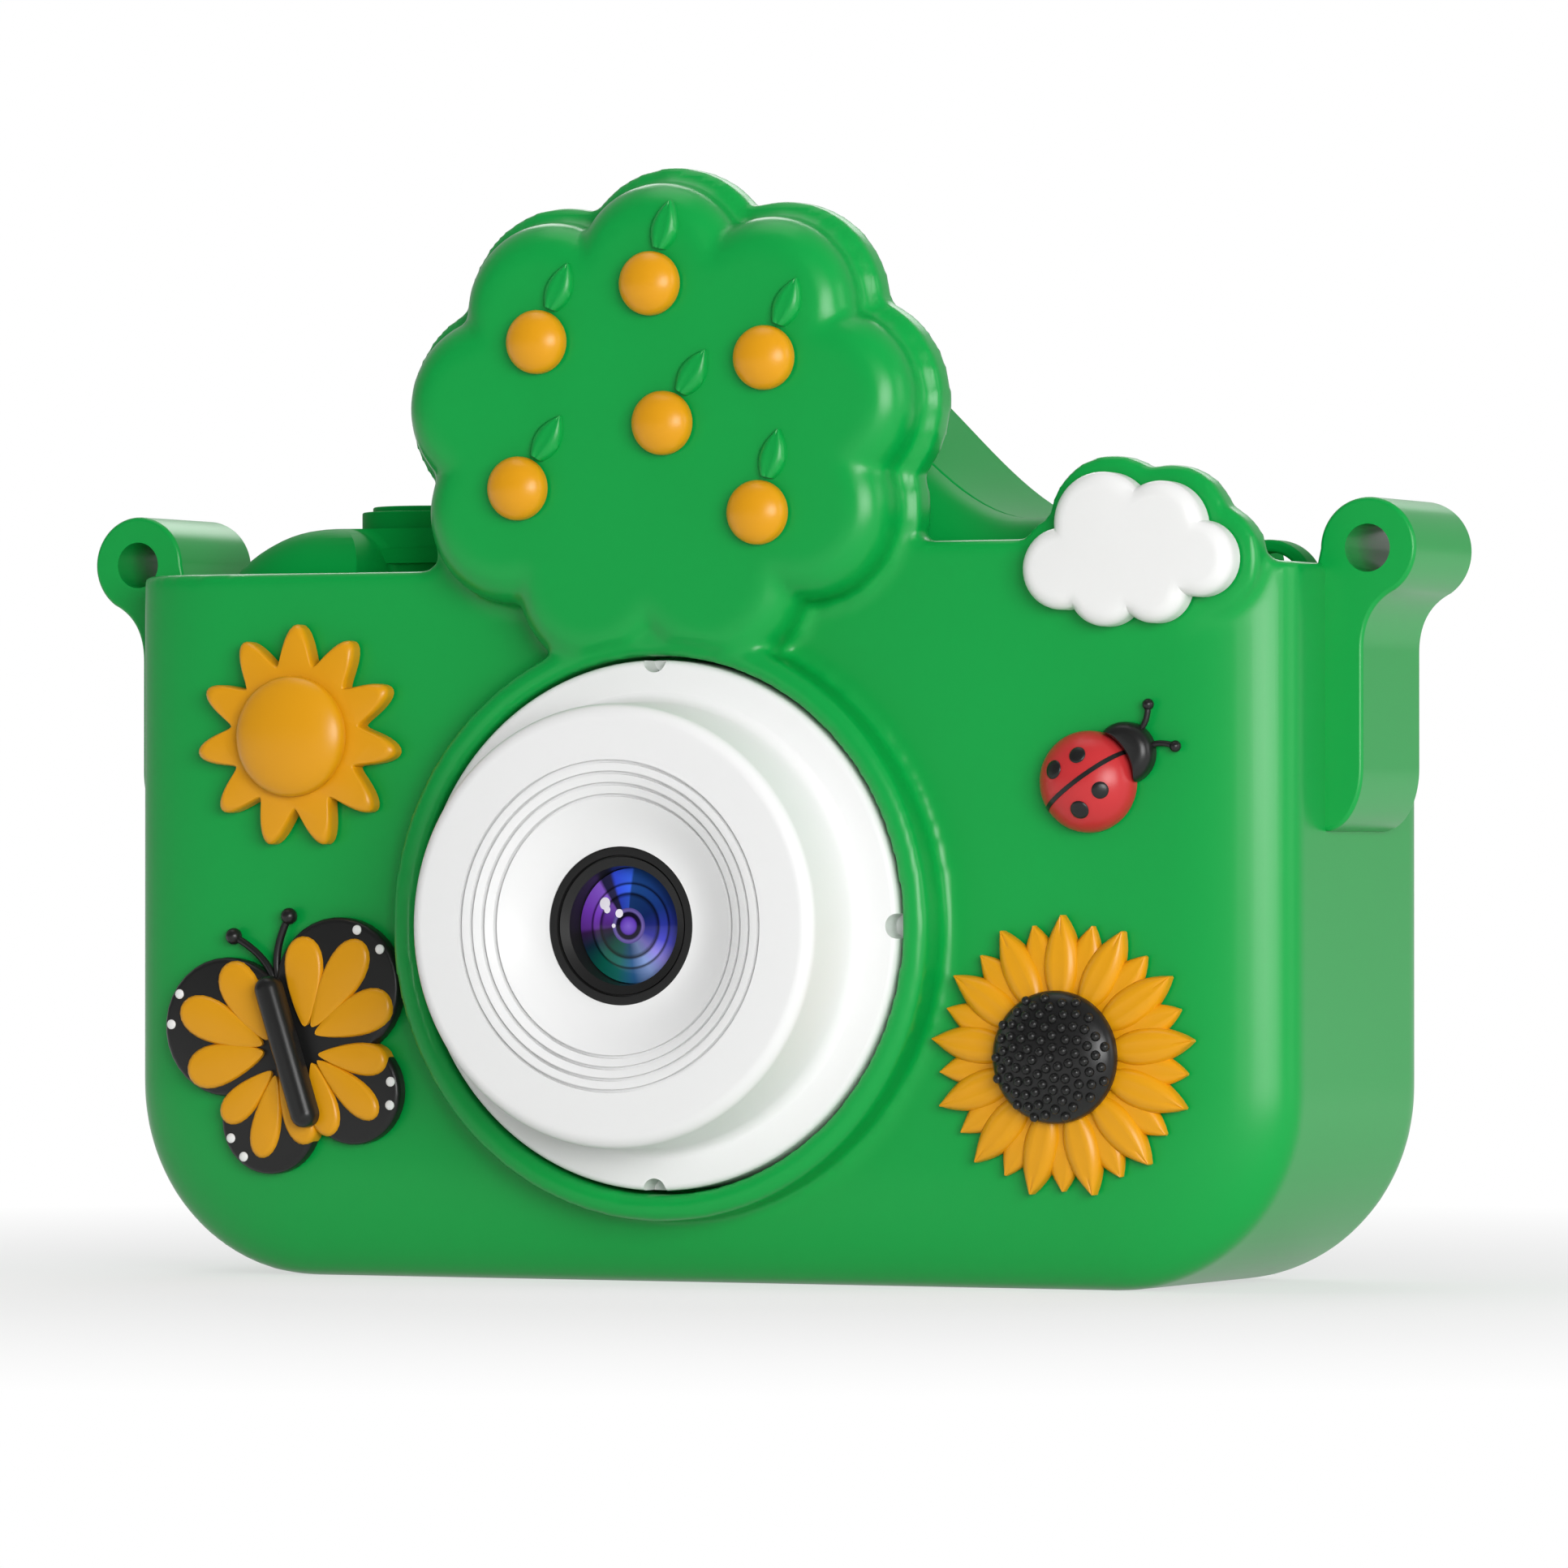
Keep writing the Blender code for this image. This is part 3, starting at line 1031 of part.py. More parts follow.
def make_inlays():
    for i, (x, z) in enumerate(FRUIT_PLACES):
        dome(f"fruit_{i + 1}", FRUIT_RADIUS, FIT, FRUIT_HEIGHT, CROWN_X + x, CROWN_HEIGHT + z,
             CROWN_FRONT - FIT, AMBER_SILICONE)
    inlay("cloud", lobed(cloud_lobes(0)), INLAY_BACK, CLOUD_THICKNESS, WHITE_SILICONE)
    rays = [(SUN_X + x, SUN_HEIGHT + z) for x, z in wavy(RAY_INNER, RAY_OUTER, RAY_COUNT, 1.6)]
    inlay("sun_rays", rays, INLAY_BACK, INLAY_THICKNESS, AMBER_SILICONE)
    dome("sun_disc", SUN_RADIUS, FIT, SUN_DOME, SUN_X, SUN_HEIGHT, INLAY_FRONT - FIT, AMBER_SILICONE)
    dome("ladybird_shell", BUG_RADIUS, FIT, BUG_DOME, BUG_X, BUG_HEIGHT, INLAY_BACK, RED_SILICONE)
    reach = BUG_RADIUS + BUG_HEAD_RADIUS + FIT
    heading = math.radians(BUG_HEADING)
    dome("ladybird_head", BUG_HEAD_RADIUS, FIT, BUG_DOME / 2, BUG_X + reach * math.cos(heading),
         BUG_HEIGHT + reach * math.sin(heading), INLAY_BACK, BLACK_SILICONE)
    wings = lobed(list(reversed(WING_LOBES)))
    inlay("butterfly_wings", turned_by(wings, BUTTERFLY_X, BUTTERFLY_HEIGHT, BUTTERFLY_TILT),
          INLAY_BACK, INLAY_THICKNESS, AMBER_SILICONE)
    body = stadium(0, 0, 2 * BUTTERFLY_BODY_RADIUS, BUTTERFLY_BODY_LENGTH)
    inlay("butterfly_body", turned_by(body, BUTTERFLY_X, BUTTERFLY_HEIGHT, BUTTERFLY_TILT),
          INLAY_FRONT - FIT, INLAY_THICKNESS, BLACK_SILICONE)
    petals = [(SUNFLOWER_X + x, SUNFLOWER_HEIGHT + z) for x, z in wavy(PETAL_INNER, PETAL_OUTER, PETAL_COUNT, 0.7)]
    inlay("sunflower_petals", petals, INLAY_BACK, INLAY_THICKNESS, AMBER_SILICONE)
    dome("sunflower_disc", SEED_DISC_RADIUS, FIT, SEED_DISC_DOME, SUNFLOWER_X, SUNFLOWER_HEIGHT,
         INLAY_FRONT - FIT, BLACK_SILICONE)


make_sleeve()
make_front_housing()
make_rear_housing()
make_lens()
make_image_module()
make_boards()
make_power_and_sound()
make_ports()
make_screen()
make_buttons()
make_rear_lens()
make_screws()
make_inlays()
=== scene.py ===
"""Looks of a kids digital camera in a silicone sleeve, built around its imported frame.

Metres, +Z up, the lens faces -Y. Sizes and colours are properties of the scene, and each
piece has its own operator in the sidebar.
"""

import math

import bmesh
import bpy
from bpy.props import FloatProperty, FloatVectorProperty, IntProperty, PointerProperty
from bpy.types import Operator, Panel, PropertyGroup
from mathutils import Matrix, Vector


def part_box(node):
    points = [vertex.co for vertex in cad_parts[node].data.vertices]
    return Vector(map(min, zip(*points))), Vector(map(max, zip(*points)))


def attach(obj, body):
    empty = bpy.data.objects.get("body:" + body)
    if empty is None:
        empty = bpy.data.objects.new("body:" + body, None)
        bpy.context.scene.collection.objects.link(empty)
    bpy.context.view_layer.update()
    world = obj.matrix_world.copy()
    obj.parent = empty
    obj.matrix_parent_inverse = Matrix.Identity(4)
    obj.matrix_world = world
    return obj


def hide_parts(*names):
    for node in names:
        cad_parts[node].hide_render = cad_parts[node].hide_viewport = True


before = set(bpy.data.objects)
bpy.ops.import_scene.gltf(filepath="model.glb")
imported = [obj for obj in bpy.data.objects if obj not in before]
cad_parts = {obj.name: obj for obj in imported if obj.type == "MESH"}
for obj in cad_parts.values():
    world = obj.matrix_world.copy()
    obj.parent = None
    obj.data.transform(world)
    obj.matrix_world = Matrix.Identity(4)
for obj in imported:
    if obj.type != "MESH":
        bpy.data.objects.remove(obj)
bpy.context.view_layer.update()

bl_info = {
    "name": "Kids digital camera",
    "version": (1, 0, 0),
    "blender": (4, 5, 0),
    "location": "3D View > Sidebar > Kids camera",
    "description": "Builds a toy camera in a silicone sleeve around its packed frame",
    "category": "Object",
}

# Fineness of the meshes
CORNER_STEPS = 20
RIM_STEPS = 9
LENS_STEPS = 144
BUTTON_STEPS = 64
DOME_STEPS = 12
LOBE_STEPS = 22
HUMP_STEPS = 56
STRAP_STEPS = 40
GLASS_STEPS = 20
NOTCH_STEPS = 28
FRUIT_STEPS = 48
DOT_STEPS = 20
FEELER_SIDES = 10

# Angles in degrees above which an edge is shaded sharp
CRISP_EDGE = 35
TURNED_EDGE = 30
LEAF_EDGE = 40
INLAY_EDGE = 45
DOME_EDGE = 50
SLEEVE_EDGE = 55

# How far a cutting shape reaches past what it cuts, and a joined shape into its neighbour
PAST = 0.0040
OVERLAP = 0.0006
BODY = "camera"
SCREWS = tuple(f"housing_screw_{i}" for i in (1, 2, 3, 4))

# Where a point (u, v) of an outline at depth w goes, by the axis it is drawn along
PLACES = {
    "X": lambda u, v, w: (w, u, v),
    "Y": lambda u, v, w: (u, w, v),
    "Z": lambda u, v, w: (u, v, w),
}

# Where a turned point (radius across, up, height) goes, by the way it faces
FACINGS = {
    "front": lambda a, b, h: (a, -h, b),
    "rear": lambda a, b, h: (a, h, b),
    "up": lambda a, b, h: (a, b, h),
}


def length(name, description, default):
    return FloatProperty(name=name, description=description, default=default, unit="LENGTH",
                         precision=5)


def colour(name, description, default):
    return FloatVectorProperty(name=name, description=description, default=default, size=3,
                               subtype="COLOR", min=0.0, max=1.0)


class SleeveSizes(PropertyGroup):
    """Sizes of the silicone sleeve."""
    gap: length("Gap", "Clearance between neighbouring pieces", 0.0003)
    width: length("Width", "Width of the sleeve without its ears", 0.0920)
    depth: length("Depth", "Depth of the sleeve without relief and lens", 0.0280)
    wall: length("Wall", "Thickness of the sleeve's walls", 0.0024)
    top: length("Top", "Height of the walls' upper edge", 0.0515)
    corner: length("Corner", "Radius of the two lower corners", 0.0140)
    front_round: length("Front rounding", "Width of the front's rounded outer edges", 0.0085)
    front_depth: length("Front rounding depth", "Depth of the front's rounded outer edges", 0.0036)
    rear_round: length("Rear rounding", "Radius of the rear's outer edges", 0.0030)
    lip_reach: length("Lip reach", "How far the rear lip reaches over the camera", 0.0076)
    lip_thickness: length("Lip thickness", "Thickness of the rear lip", 0.0022)
    collar_width: length("Collar width", "Width of the raised collar round the lens", 0.0019)
    collar_rise: length("Collar rise", "Height of the collar above the front", 0.0036)
    ear_spacing: length("Ear spacing", "Distance between the two ears' holes", 0.0984)
    ear_height: length("Ear height", "Height of the ears' holes", 0.0525)
    ear_radius: length("Ear radius", "Outer radius of an ear", 0.0036)
    ear_bore: length("Ear bore", "Radius of an ear's hole", 0.0017)
    ear_length: length("Ear length", "Length of an ear from front to rear", 0.0115)
    ear_setback: length("Ear setback", "Distance of an ear behind the front", 0.0080)
    rib_stand: length("Rib stand", "How far a rib stands off the side wall", 0.0028)
    rib_length: length("Rib length", "Length of a rib below its ear's hole", 0.0200)
    rib_taper: length("Rib taper", "Height of a rib's rounded lower end", 0.0045)


class CrownSizes(PropertyGroup):
    """Sizes of the tree crown on the crest, and of its fruit."""
    x: length("Across", "Place of the crown's middle across the front", -0.0013)
    height: length("Height", "Height of the crown's middle", 0.0612)
    reach_x: length("Reach across", "Half the width of the ellipse of lobes", 0.0135)
    reach_z: length("Reach up", "Half the height of the ellipse of lobes", 0.0113)
    lobes: IntProperty(name="Lobes", description="Number of lobes round the crown", default=9)
    lobe_radius: length("Lobe radius", "Radius of one lobe", 0.0066)
    relief: length("Relief", "Height of the crown above the front", 0.0042)
    rounding: length("Rounding", "Radius of the crown's edge", 0.0026)
    margin: length("Margin", "Width of the plate that shows round the crown", 0.0012)
    saddle: length("Saddle rise", "Height of the wall between crown and cloud above the side walls", 0.0017)
    fruit_radius: length("Fruit radius", "Radius of a fruit", 0.0023)
    fruit_rise: length("Fruit rise", "Height of a fruit", 0.0014)
    root: length("Root", "Radius of the curve from the wall's edge into the crest", 0.0020)
    leaf: length("Leaf", "Length of a leaf beside a fruit", 0.0038)


class HousingSizes(PropertyGroup):
    """Sizes of the camera's own housing."""
    top: length("Top", "Height of the housing's shoulders", 0.0550)
    shoulder: length("Shoulder", "Radius of the upper left corner", 0.0105)
    hump_half: length("Hump half width", "Half the width of the hump on top", 0.0230)
    hump_rise: length("Hump rise", "Height of the hump above the shoulders", 0.0145)
    wall: length("Wall", "Thickness of the housing", 0.0018)
    edge: length("Edge", "Radius of the rear edges", 0.0012)
    parting: length("Parting", "Distance of the parting line behind the housing's front", 0.0073)
    panel_rise: length("Panel rise", "How far the rear panel stands out", 0.0021)
    notch_width: length("Notch width", "Width of the strap notch", 0.0082)
    notch_round: length("Notch rounding", "Radius of the corner above the strap notch", 0.0030)
    notch_drop: length("Notch drop", "Depth of the strap notch", 0.0044)
    button_y: length("Button place", "Place of the top buttons from front to rear", 0.0030)
    shutter_x: length("Shutter place", "Place of the shutter button across the top", -0.0288)
    shutter_radius: length("Shutter radius", "Radius of the shutter button", 0.0055)
    shutter_proud: length("Shutter height", "Height of the shutter button", 0.0018)
    power_x: length("Power place", "Place of the power button across the top", 0.0285)
    power_radius: length("Power radius", "Radius of the power button", 0.0034)
    power_proud: length("Power height", "Height of the power button", 0.0010)


class LensSizes(PropertyGroup):
    """Sizes of the lens on the front."""
    x: length("Across", "Place of the lens axis across the front", -0.0010)
    height: length("Height", "Height of the lens axis", 0.0258)
    ring_radius: length("Ring radius", "Outer radius of the base ring", 0.0190)
    ring_width: length("Ring width", "Width of the base ring", 0.0020)
    ring_rise: length("Ring rise", "Height of the base ring above the front", 0.0035)
    ring_notch: length("Ring notch", "Radius of a notch in the base ring", 0.0009)
    barrel_rise: length("Barrel rise", "Height of the barrel above the base ring", 0.0076)
    barrel_wall: length("Barrel wall", "Thickness of the barrel", 0.0020)
    dish_depth: length("Dish depth", "Depth of the dished front", 0.0008)
    cone_depth: length("Cone depth", "Depth of the cone round the bezel", 0.0016)
    bezel_radius: length("Bezel radius", "Outer radius of the black bezel", 0.0058)
    bezel_wall: length("Bezel wall", "Width of the black bezel", 0.0014)
    bezel_length: length("Bezel length", "Length of the black bezel", 0.0034)
    glass_crown: length("Glass crown", "Height of the front lens's curve", 0.0007)


class RearSizes(PropertyGroup):
    """Sizes of the screen, the buttons and the small lens on the rear, and of the ports."""
    screen_x: length("Screen place", "Place of the screen's middle across the rear", 0.0108)
    screen_height: length("Screen height", "Height of the screen's middle", 0.02847)
    window_width: length("Window width", "Width of the screen's window", 0.0430)
    window_tall: length("Window height", "Height of the screen's window", 0.0330)
    window_thickness: length("Window thickness", "Thickness of the screen's window", 0.0008)
    pad_x: length("Pad place", "Place of the key pad across the rear", -0.0227)
    pad_height: length("Pad height", "Height of the key pad's middle", 0.0225)
    pad_reach: length("Pad reach", "Distance of the arrow keys from the middle", 0.0074)
    arrow_radius: length("Arrow key radius", "Radius of an arrow key", 0.0025)
    ok_radius: length("Middle key radius", "Radius of the key in the middle", 0.0029)
    menu_height: length("Menu row height", "Height of the two keys above the pad", 0.0405)
    menu_reach: length("Menu row reach", "Half the distance between those two keys", 0.0052)
    menu_radius: length("Menu key radius", "Radius of those two keys", 0.0027)
    key_proud: length("Key height", "Height of a key above the panel", 0.0009)
    ring_height: length("Small lens height", "Height of the small lens in the hump", 0.0590)
    ring_radius: length("Small ring radius", "Outer radius of the small lens's ring", 0.0052)
    ring_wall: length("Small ring wall", "Width of the small lens's ring", 0.0022)
    ring_rise: length("Small ring rise", "Height of the small lens's ring", 0.0014)
    port_height: length("Port height", "Height of the ports' middle", 0.0230)


class InlaySizes(PropertyGroup):
    """Sizes and places of the coloured inlays."""
    thickness: length("Thickness", "Thickness of a flat inlay", 0.0014)
    edge: length("Edge", "Radius of a flat inlay's edge", 0.0006)
    cloud_x: length("Cloud place", "Place of the cloud across the front", 0.0348)
    cloud_height: length("Cloud height", "Height of the cloud", 0.0512)
    cloud_thickness: length("Cloud thickness", "Thickness of the cloud", 0.0022)
    sun_x: length("Sun place", "Place of the sun across the front", -0.0310)
    sun_height: length("Sun height", "Height of the sun", 0.0395)
    sun_radius: length("Sun radius", "Radius of the sun's disc", 0.0044)
    ray_inner: length("Ray start", "Radius where the rays begin", 0.0054)
    ray_outer: length("Ray end", "Radius where the rays end", 0.0082)
    ray_count: IntProperty(name="Rays", description="Number of rays", default=11)
    bug_x: length("Ladybird place", "Place of the ladybird across the front", 0.0315)
    bug_height: length("Ladybird height", "Height of the ladybird", 0.0360)
    bug_radius: length("Ladybird radius", "Radius of the ladybird's shell", 0.0036)
    bug_rise: length("Ladybird rise", "Height of the ladybird's shell", 0.0024)
    bug_head: length("Ladybird head", "Radius of the ladybird's head", 0.0022)
    bug_neck: length("Ladybird neck", "Distance of the head's middle from the shell's", 0.0035)
    butterfly_x: length("Butterfly place", "Place of the butterfly across the front", -0.0312)
    butterfly_height: length("Butterfly height", "Height of the butterfly", 0.0165)
    sunflower_x: length("Sunflower place", "Place of the sunflower across the front", 0.0296)
    sunflower_height: length("Sunflower height", "Height of the sunflower", 0.0166)
    petal_inner: length("Petal start", "Radius where the petals begin", 0.0040)
    petal_outer: length("Petal end", "Radius where the petals end", 0.0100)
    petal_count: IntProperty(name="Petals", description="Number of petals in one row", default=13)
    seed_radius: length("Seed disc radius", "Radius of the seed disc", 0.0047)
    seed_rise: length("Seed disc rise", "Height of the seed disc", 0.0018)


class FinishColours(PropertyGroup):
    """Colours of the finishes."""
    green_silicone: colour("Green silicone", "The sleeve", (0.002, 0.345, 0.056))
    green_plastic: colour("Green plastic", "The housing and the top buttons", (0.002, 0.290, 0.047))
    amber_silicone: colour("Amber silicone", "Fruit, sun, wings and petals", (0.760, 0.335, 0.005))
    white_silicone: colour("White silicone", "The cloud and the white dots", (0.850, 0.850, 0.840))
    black_silicone: colour("Black silicone", "Seeds, spots and borders", (0.012, 0.012, 0.012))
    red_silicone: colour("Red silicone", "The ladybird's shell", (0.560, 0.032, 0.036))
    white_plastic: colour("White plastic", "The lens barrel, its ring and the keys", (0.860, 0.860, 0.860))
    black_plastic: colour("Black plastic", "Bezels and inner plastic parts", (0.014, 0.014, 0.014))
    grey_print: colour("Grey print", "The signs on the keys", (0.180, 0.190, 0.200))


def sizes(context, *names):
    """The scene's groups of sizes with these names."""
    return [getattr(context.scene, f"kidscam_{name}") for name in names]


# Share of the rear lip's reach at the base
LIP_BASE = 0.68


class Places:
    """Planes and half widths worked out from the sizes, as the frame has them."""

    def __init__(self, context):
        sleeve, crown, housing, lens, inlays = sizes(context, "sleeve", "crown", "housing", "lens", "inlays")
        gap = sleeve.gap
        self.gap = gap
        self.half = sleeve.width / 2
        self.front = -sleeve.depth / 2
        self.rear = sleeve.depth / 2
        self.camera_half = self.half - sleeve.wall - gap
        self.camera_base = sleeve.wall + gap
        self.camera_corner = sleeve.corner - sleeve.wall - gap
        self.camera_round = sleeve.front_round - sleeve.wall - gap
        self.camera_front = self.front + sleeve.wall + gap
        self.camera_rear = self.rear - sleeve.lip_thickness - gap
        self.parting = self.camera_front + housing.parting
        self.inner_front = self.camera_front + housing.wall
        self.inner_rear = self.camera_rear - housing.wall
        self.inner_top = housing.top - housing.wall
        self.inner_half = self.camera_half - housing.wall
        self.panel_rear = self.camera_rear + housing.panel_rise
        self.panel_inner = self.panel_rear - housing.wall
        self.panel_half = self.camera_half - sleeve.lip_reach
        self.panel_base = self.camera_base + sleeve.lip_reach * LIP_BASE
        self.ring_front = self.front - lens.ring_rise
        self.barrel_front = self.ring_front - lens.barrel_rise
        self.barrel_radius = lens.ring_radius - lens.ring_width - gap
        self.bezel_front = self.barrel_front + lens.dish_depth + lens.cone_depth - gap
        self.bezel_rear = self.bezel_front + lens.bezel_length
        self.collar_inner = lens.ring_radius + gap
        self.collar_radius = self.collar_inner + sleeve.collar_width
        self.inlay_back = self.front - gap
        self.inlay_front = self.inlay_back - inlays.thickness
        self.crown_front = self.front - crown.relief


def arc(centre_u, centre_v, radius, start, end, steps=CORNER_STEPS):
    """Points along a circle, from one angle to another in degrees."""
    angles = [math.radians(start + (end - start) * i / steps) for i in range(steps + 1)]
    return [(centre_u + radius * math.cos(a), centre_v + radius * math.sin(a)) for a in angles]


def rectangle(left, low, right, high):
    return [(left, low), (right, low), (right, high), (left, high)]


def rounded_rectangle(left, low, right, high, radius):
    corners = ((right - radius, high - radius, 0), (left + radius, high - radius, 90),
               (left + radius, low + radius, 180), (right - radius, low + radius, 270))
    outline = []
    for u, v, start in corners:
        outline += arc(u, v, radius, start, start + 90, 10)
    return outline


def stadium(centre_u, centre_v, width, height):
    """A slot's outline, with round ends along its longer way."""
    radius = min(width, height) / 2
    across, along = width / 2 - radius, height / 2 - radius
    if width > height:
        ends = arc(across, 0, radius, -90, 90) + arc(-across, 0, radius, 90, 270)
    else:
        ends = arc(0, along, radius, 0, 180) + arc(0, -along, radius, 180, 360)
    return [(centre_u + u, centre_v + v) for u, v in ends]


def turned_by(points, centre_u, centre_v, degrees):
    """Points turned about their own origin, then moved to a centre."""
    c, s = math.cos(math.radians(degrees)), math.sin(math.radians(degrees))
    return [(centre_u + c * u - s * v, centre_v + s * u + c * v) for u, v in points]


def meeting_point(first, second):
    """Where two overlapping lobes cross on their outer side, going anticlockwise."""
    au, av, ar = first
    bu, bv, br = second
    du, dv = bu - au, bv - av
    apart = math.hypot(du, dv)
    along = (apart ** 2 + ar ** 2 - br ** 2) / (2 * apart)
    across = math.sqrt(max(ar ** 2 - along ** 2, 0.0))
    return (au + (along * du + across * dv) / apart, av + (along * dv - across * du) / apart)


def lobed(lobes):
    """The outer outline of round lobes that each overlap the next, listed anticlockwise."""
    outline = []
    for i, lobe in enumerate(lobes):
        u, v, radius = lobe
        begin = meeting_point(lobes[i - 1], lobe)
        end = meeting_point(lobe, lobes[(i + 1) % len(lobes)])
        start = math.degrees(math.atan2(begin[1] - v, begin[0] - u))
        stop = math.degrees(math.atan2(end[1] - v, end[0] - u))
        stop += 360 * (stop <= start)
        outline += arc(u, v, radius, start, stop, LOBE_STEPS)[:-1]
    return outline


def star(inner, outer, count, sharpness, steps=18):
    """A ring of rounded points as a closed outline about its own origin."""
    total = count * steps
    outline = []
    for i in range(total):
        angle = 2 * math.pi * i / total
        lift = abs(math.cos(count * angle / 2)) ** sharpness
        radius = inner + (outer - inner) * lift
        outline.append((radius * math.sin(angle), radius * math.cos(angle)))
    return outline


def new_object(name, work):
    """An object in the scene for a finished bmesh."""
    bmesh.ops.recalc_face_normals(work, faces=work.faces)
    mesh = bpy.data.meshes.new(name)
    work.to_mesh(mesh)
    work.free()
    made = bpy.data.objects.new(name, mesh)
    bpy.context.scene.collection.objects.link(made)
    return made


def add_prism(work, outline, low, high, axis):
    """Adds a flat outline with thickness to a bmesh."""
    put = PLACES[axis]
    lower = [work.verts.new(put(u, v, low)) for u, v in outline]
    upper = [work.verts.new(put(u, v, high)) for u, v in outline]
    for i in range(len(outline)):
        work.faces.new((lower[i - 1], lower[i], upper[i], upper[i - 1]))
    work.faces.new(lower)
    work.faces.new(upper)


def prism(name, outline, low, high, axis="Y"):
    work = bmesh.new()
    add_prism(work, outline, low, high, axis)
    return new_object(name, work)


def block(name, low, high):
    return prism(name, rectangle(low[0], low[1], high[0], high[1]), low[2], high[2], "Z")


def add_loft(work, rings):
    """Adds a closed skin over a row of rings with the same number of points."""
    made = [[work.verts.new(point) for point in ring] for ring in rings]
    count = len(made[0])
    for first, second in zip(made, made[1:]):
        for i in range(count):
            work.faces.new((first[i - 1], first[i], second[i], second[i - 1]))
    work.faces.new(made[0])
    work.faces.new(made[-1])


def lofted(name, rings):
    work = bmesh.new()
    add_loft(work, rings)
    return new_object(name, work)


def add_turned(work, profile, centre, facing, steps):
    """Adds a turned shape: (radius, height) points down the outer side and back up the inner."""
    put = FACINGS[facing]
    rings = []
    for radius, height in profile:
        if radius <= 0:
            rings.append([work.verts.new(Vector(centre) + Vector(put(0, 0, height)))])
            continue
        points = arc(0, 0, radius, 0, 360, steps)[:-1]
        rings.append([work.verts.new(Vector(centre) + Vector(put(a, b, height))) for a, b in points])
    pairs = list(zip(rings, rings[1:]))
    if profile[0][0] > 0:
        pairs.append((rings[-1], rings[0]))
    for first, second in pairs:
        for i in range(steps):
            if len(first) == 1:
                work.faces.new((first[0], second[i], second[i - 1]))
            elif len(second) == 1:
                work.faces.new((first[i - 1], first[i], second[0]))
            else:
                work.faces.new((first[i - 1], first[i], second[i], second[i - 1]))


def turned(name, profile, centre, facing="front", steps=LENS_STEPS):
    work = bmesh.new()
    add_turned(work, profile, centre, facing, steps)
    return new_object(name, work)


def rod(name, radius, centre, low, high, facing="front", steps=BUTTON_STEPS):
    """A cylinder about a centre, between two heights along the way it faces."""
    return turned(name, [(0, high), (radius, high), (radius, low), (0, low)], centre, facing, steps)


def dome_profile(radius, edge, rise):
    """A crowned disc: a short upright edge, then a smooth cap."""
    cap = [(radius * s, edge + rise * c) for c, s in arc(0, 0, 1, 0, 90, DOME_STEPS)]
    return cap + [(radius, 0), (0, 0)]


def rounded_step(radius, height, edge, steps=RIM_STEPS):
    """The points of a rounded outer edge, from the top face down to the side."""
    return arc(radius - edge, height - edge, edge, 90, 0, steps)


def rounded_inset(height, edge, steps=RIM_STEPS):
    """How far in and how high the points of a rounded edge lie, from the foot up to the top face."""
    return [(0, 0)] + arc(edge, height - edge, edge, 180, 90, steps)


def round_rims(thing, axis, low_radius, high_radius, segments=RIM_STEPS):
    """Rounds the rims of a prism's two flat ends, each with its own radius."""
    mesh = thing.data
    places = [vertex.co["XYZ".index(axis)] for vertex in mesh.vertices]
    low, high = min(places), max(places)
    largest = max(low_radius, high_radius)
    weights = mesh.attributes.new("bevel_weight_edge", "FLOAT", "EDGE")
    middle = (low + high) / 2
    for edge in mesh.edges:
        ends = [places[v] for v in edge.vertices]
        if max(ends) < middle:
            weights.data[edge.index].value = low_radius / largest
        elif min(ends) > middle:
            weights.data[edge.index].value = high_radius / largest
    modify(thing, "BEVEL", width=largest, segments=segments, limit_method="WEIGHT",
           use_clamp_overlap=False)
    return settle(thing)


def modify(thing, kind, **values):
    """Adds a modifier with these settings."""
    made = thing.modifiers.new(kind.lower(), kind)
    for name, value in values.items():
        setattr(made, name, value)


def settle(thing):
    """Puts the result of an object's modifiers into its mesh."""
    graph = bpy.context.evaluated_depsgraph_get()
    graph.update()
    mesh = bpy.data.meshes.new_from_object(thing.evaluated_get(graph))
    old = thing.data
    thing.modifiers.clear()
    thing.data = mesh
    mesh.name = thing.name
    bpy.data.meshes.remove(old)
    return thing


def combine(thing, operation, others):
    """Cuts, joins or crosses a shape with others, which are used up by it."""
    for other in others:
        modify(thing, "BOOLEAN", operation=operation, solver="EXACT", object=other)
        settle(thing)
        if not thing.data.polygons:
            raise RuntimeError(f"{operation} of {other.name} left nothing of {thing.name}")
        mesh = other.data
        bpy.data.objects.remove(other)
        bpy.data.meshes.remove(mesh)
    return thing


def cut(thing, *others):
    return combine(thing, "DIFFERENCE", others)


def join(thing, *others):
    return combine(thing, "UNION", others)


def shade(thing, degrees=CRISP_EDGE):
    """Smooth shading that keeps edges sharper than an angle."""
    thing.data.shade_smooth()
    thing.data.set_sharp_from_angle(angle=math.radians(degrees))
    return thing


def dress(piece, finish, *nodes, body=BODY, slot=None):
    """Gives a piece its finish and its body, and hides the frame's nodes that it stands for. Its slot is not
    used.
    """
    piece.data.materials.clear()
    piece.data.materials.append(FINISHES[finish])
    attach(piece, body)
    if nodes:
        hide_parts(*nodes)
    return piece


def feed(tree, socket, value):
    """Gives an input a number or a colour, or links it to another node's output."""
    if isinstance(value, bpy.types.NodeSocket):
        tree.links.new(value, socket)
    else:
        socket.default_value = (*value, 1.0) if isinstance(value, tuple) else value


def add_node(tree, kind, *values, **named):
    """A node whose inputs, by place or by name, are fed."""
    made = tree.nodes.new(kind)
    for i, value in enumerate(values):
        feed(tree, made.inputs[i], value)
    for name, value in named.items():
        feed(tree, made.inputs[name.replace("_", " ")], value)
    return made


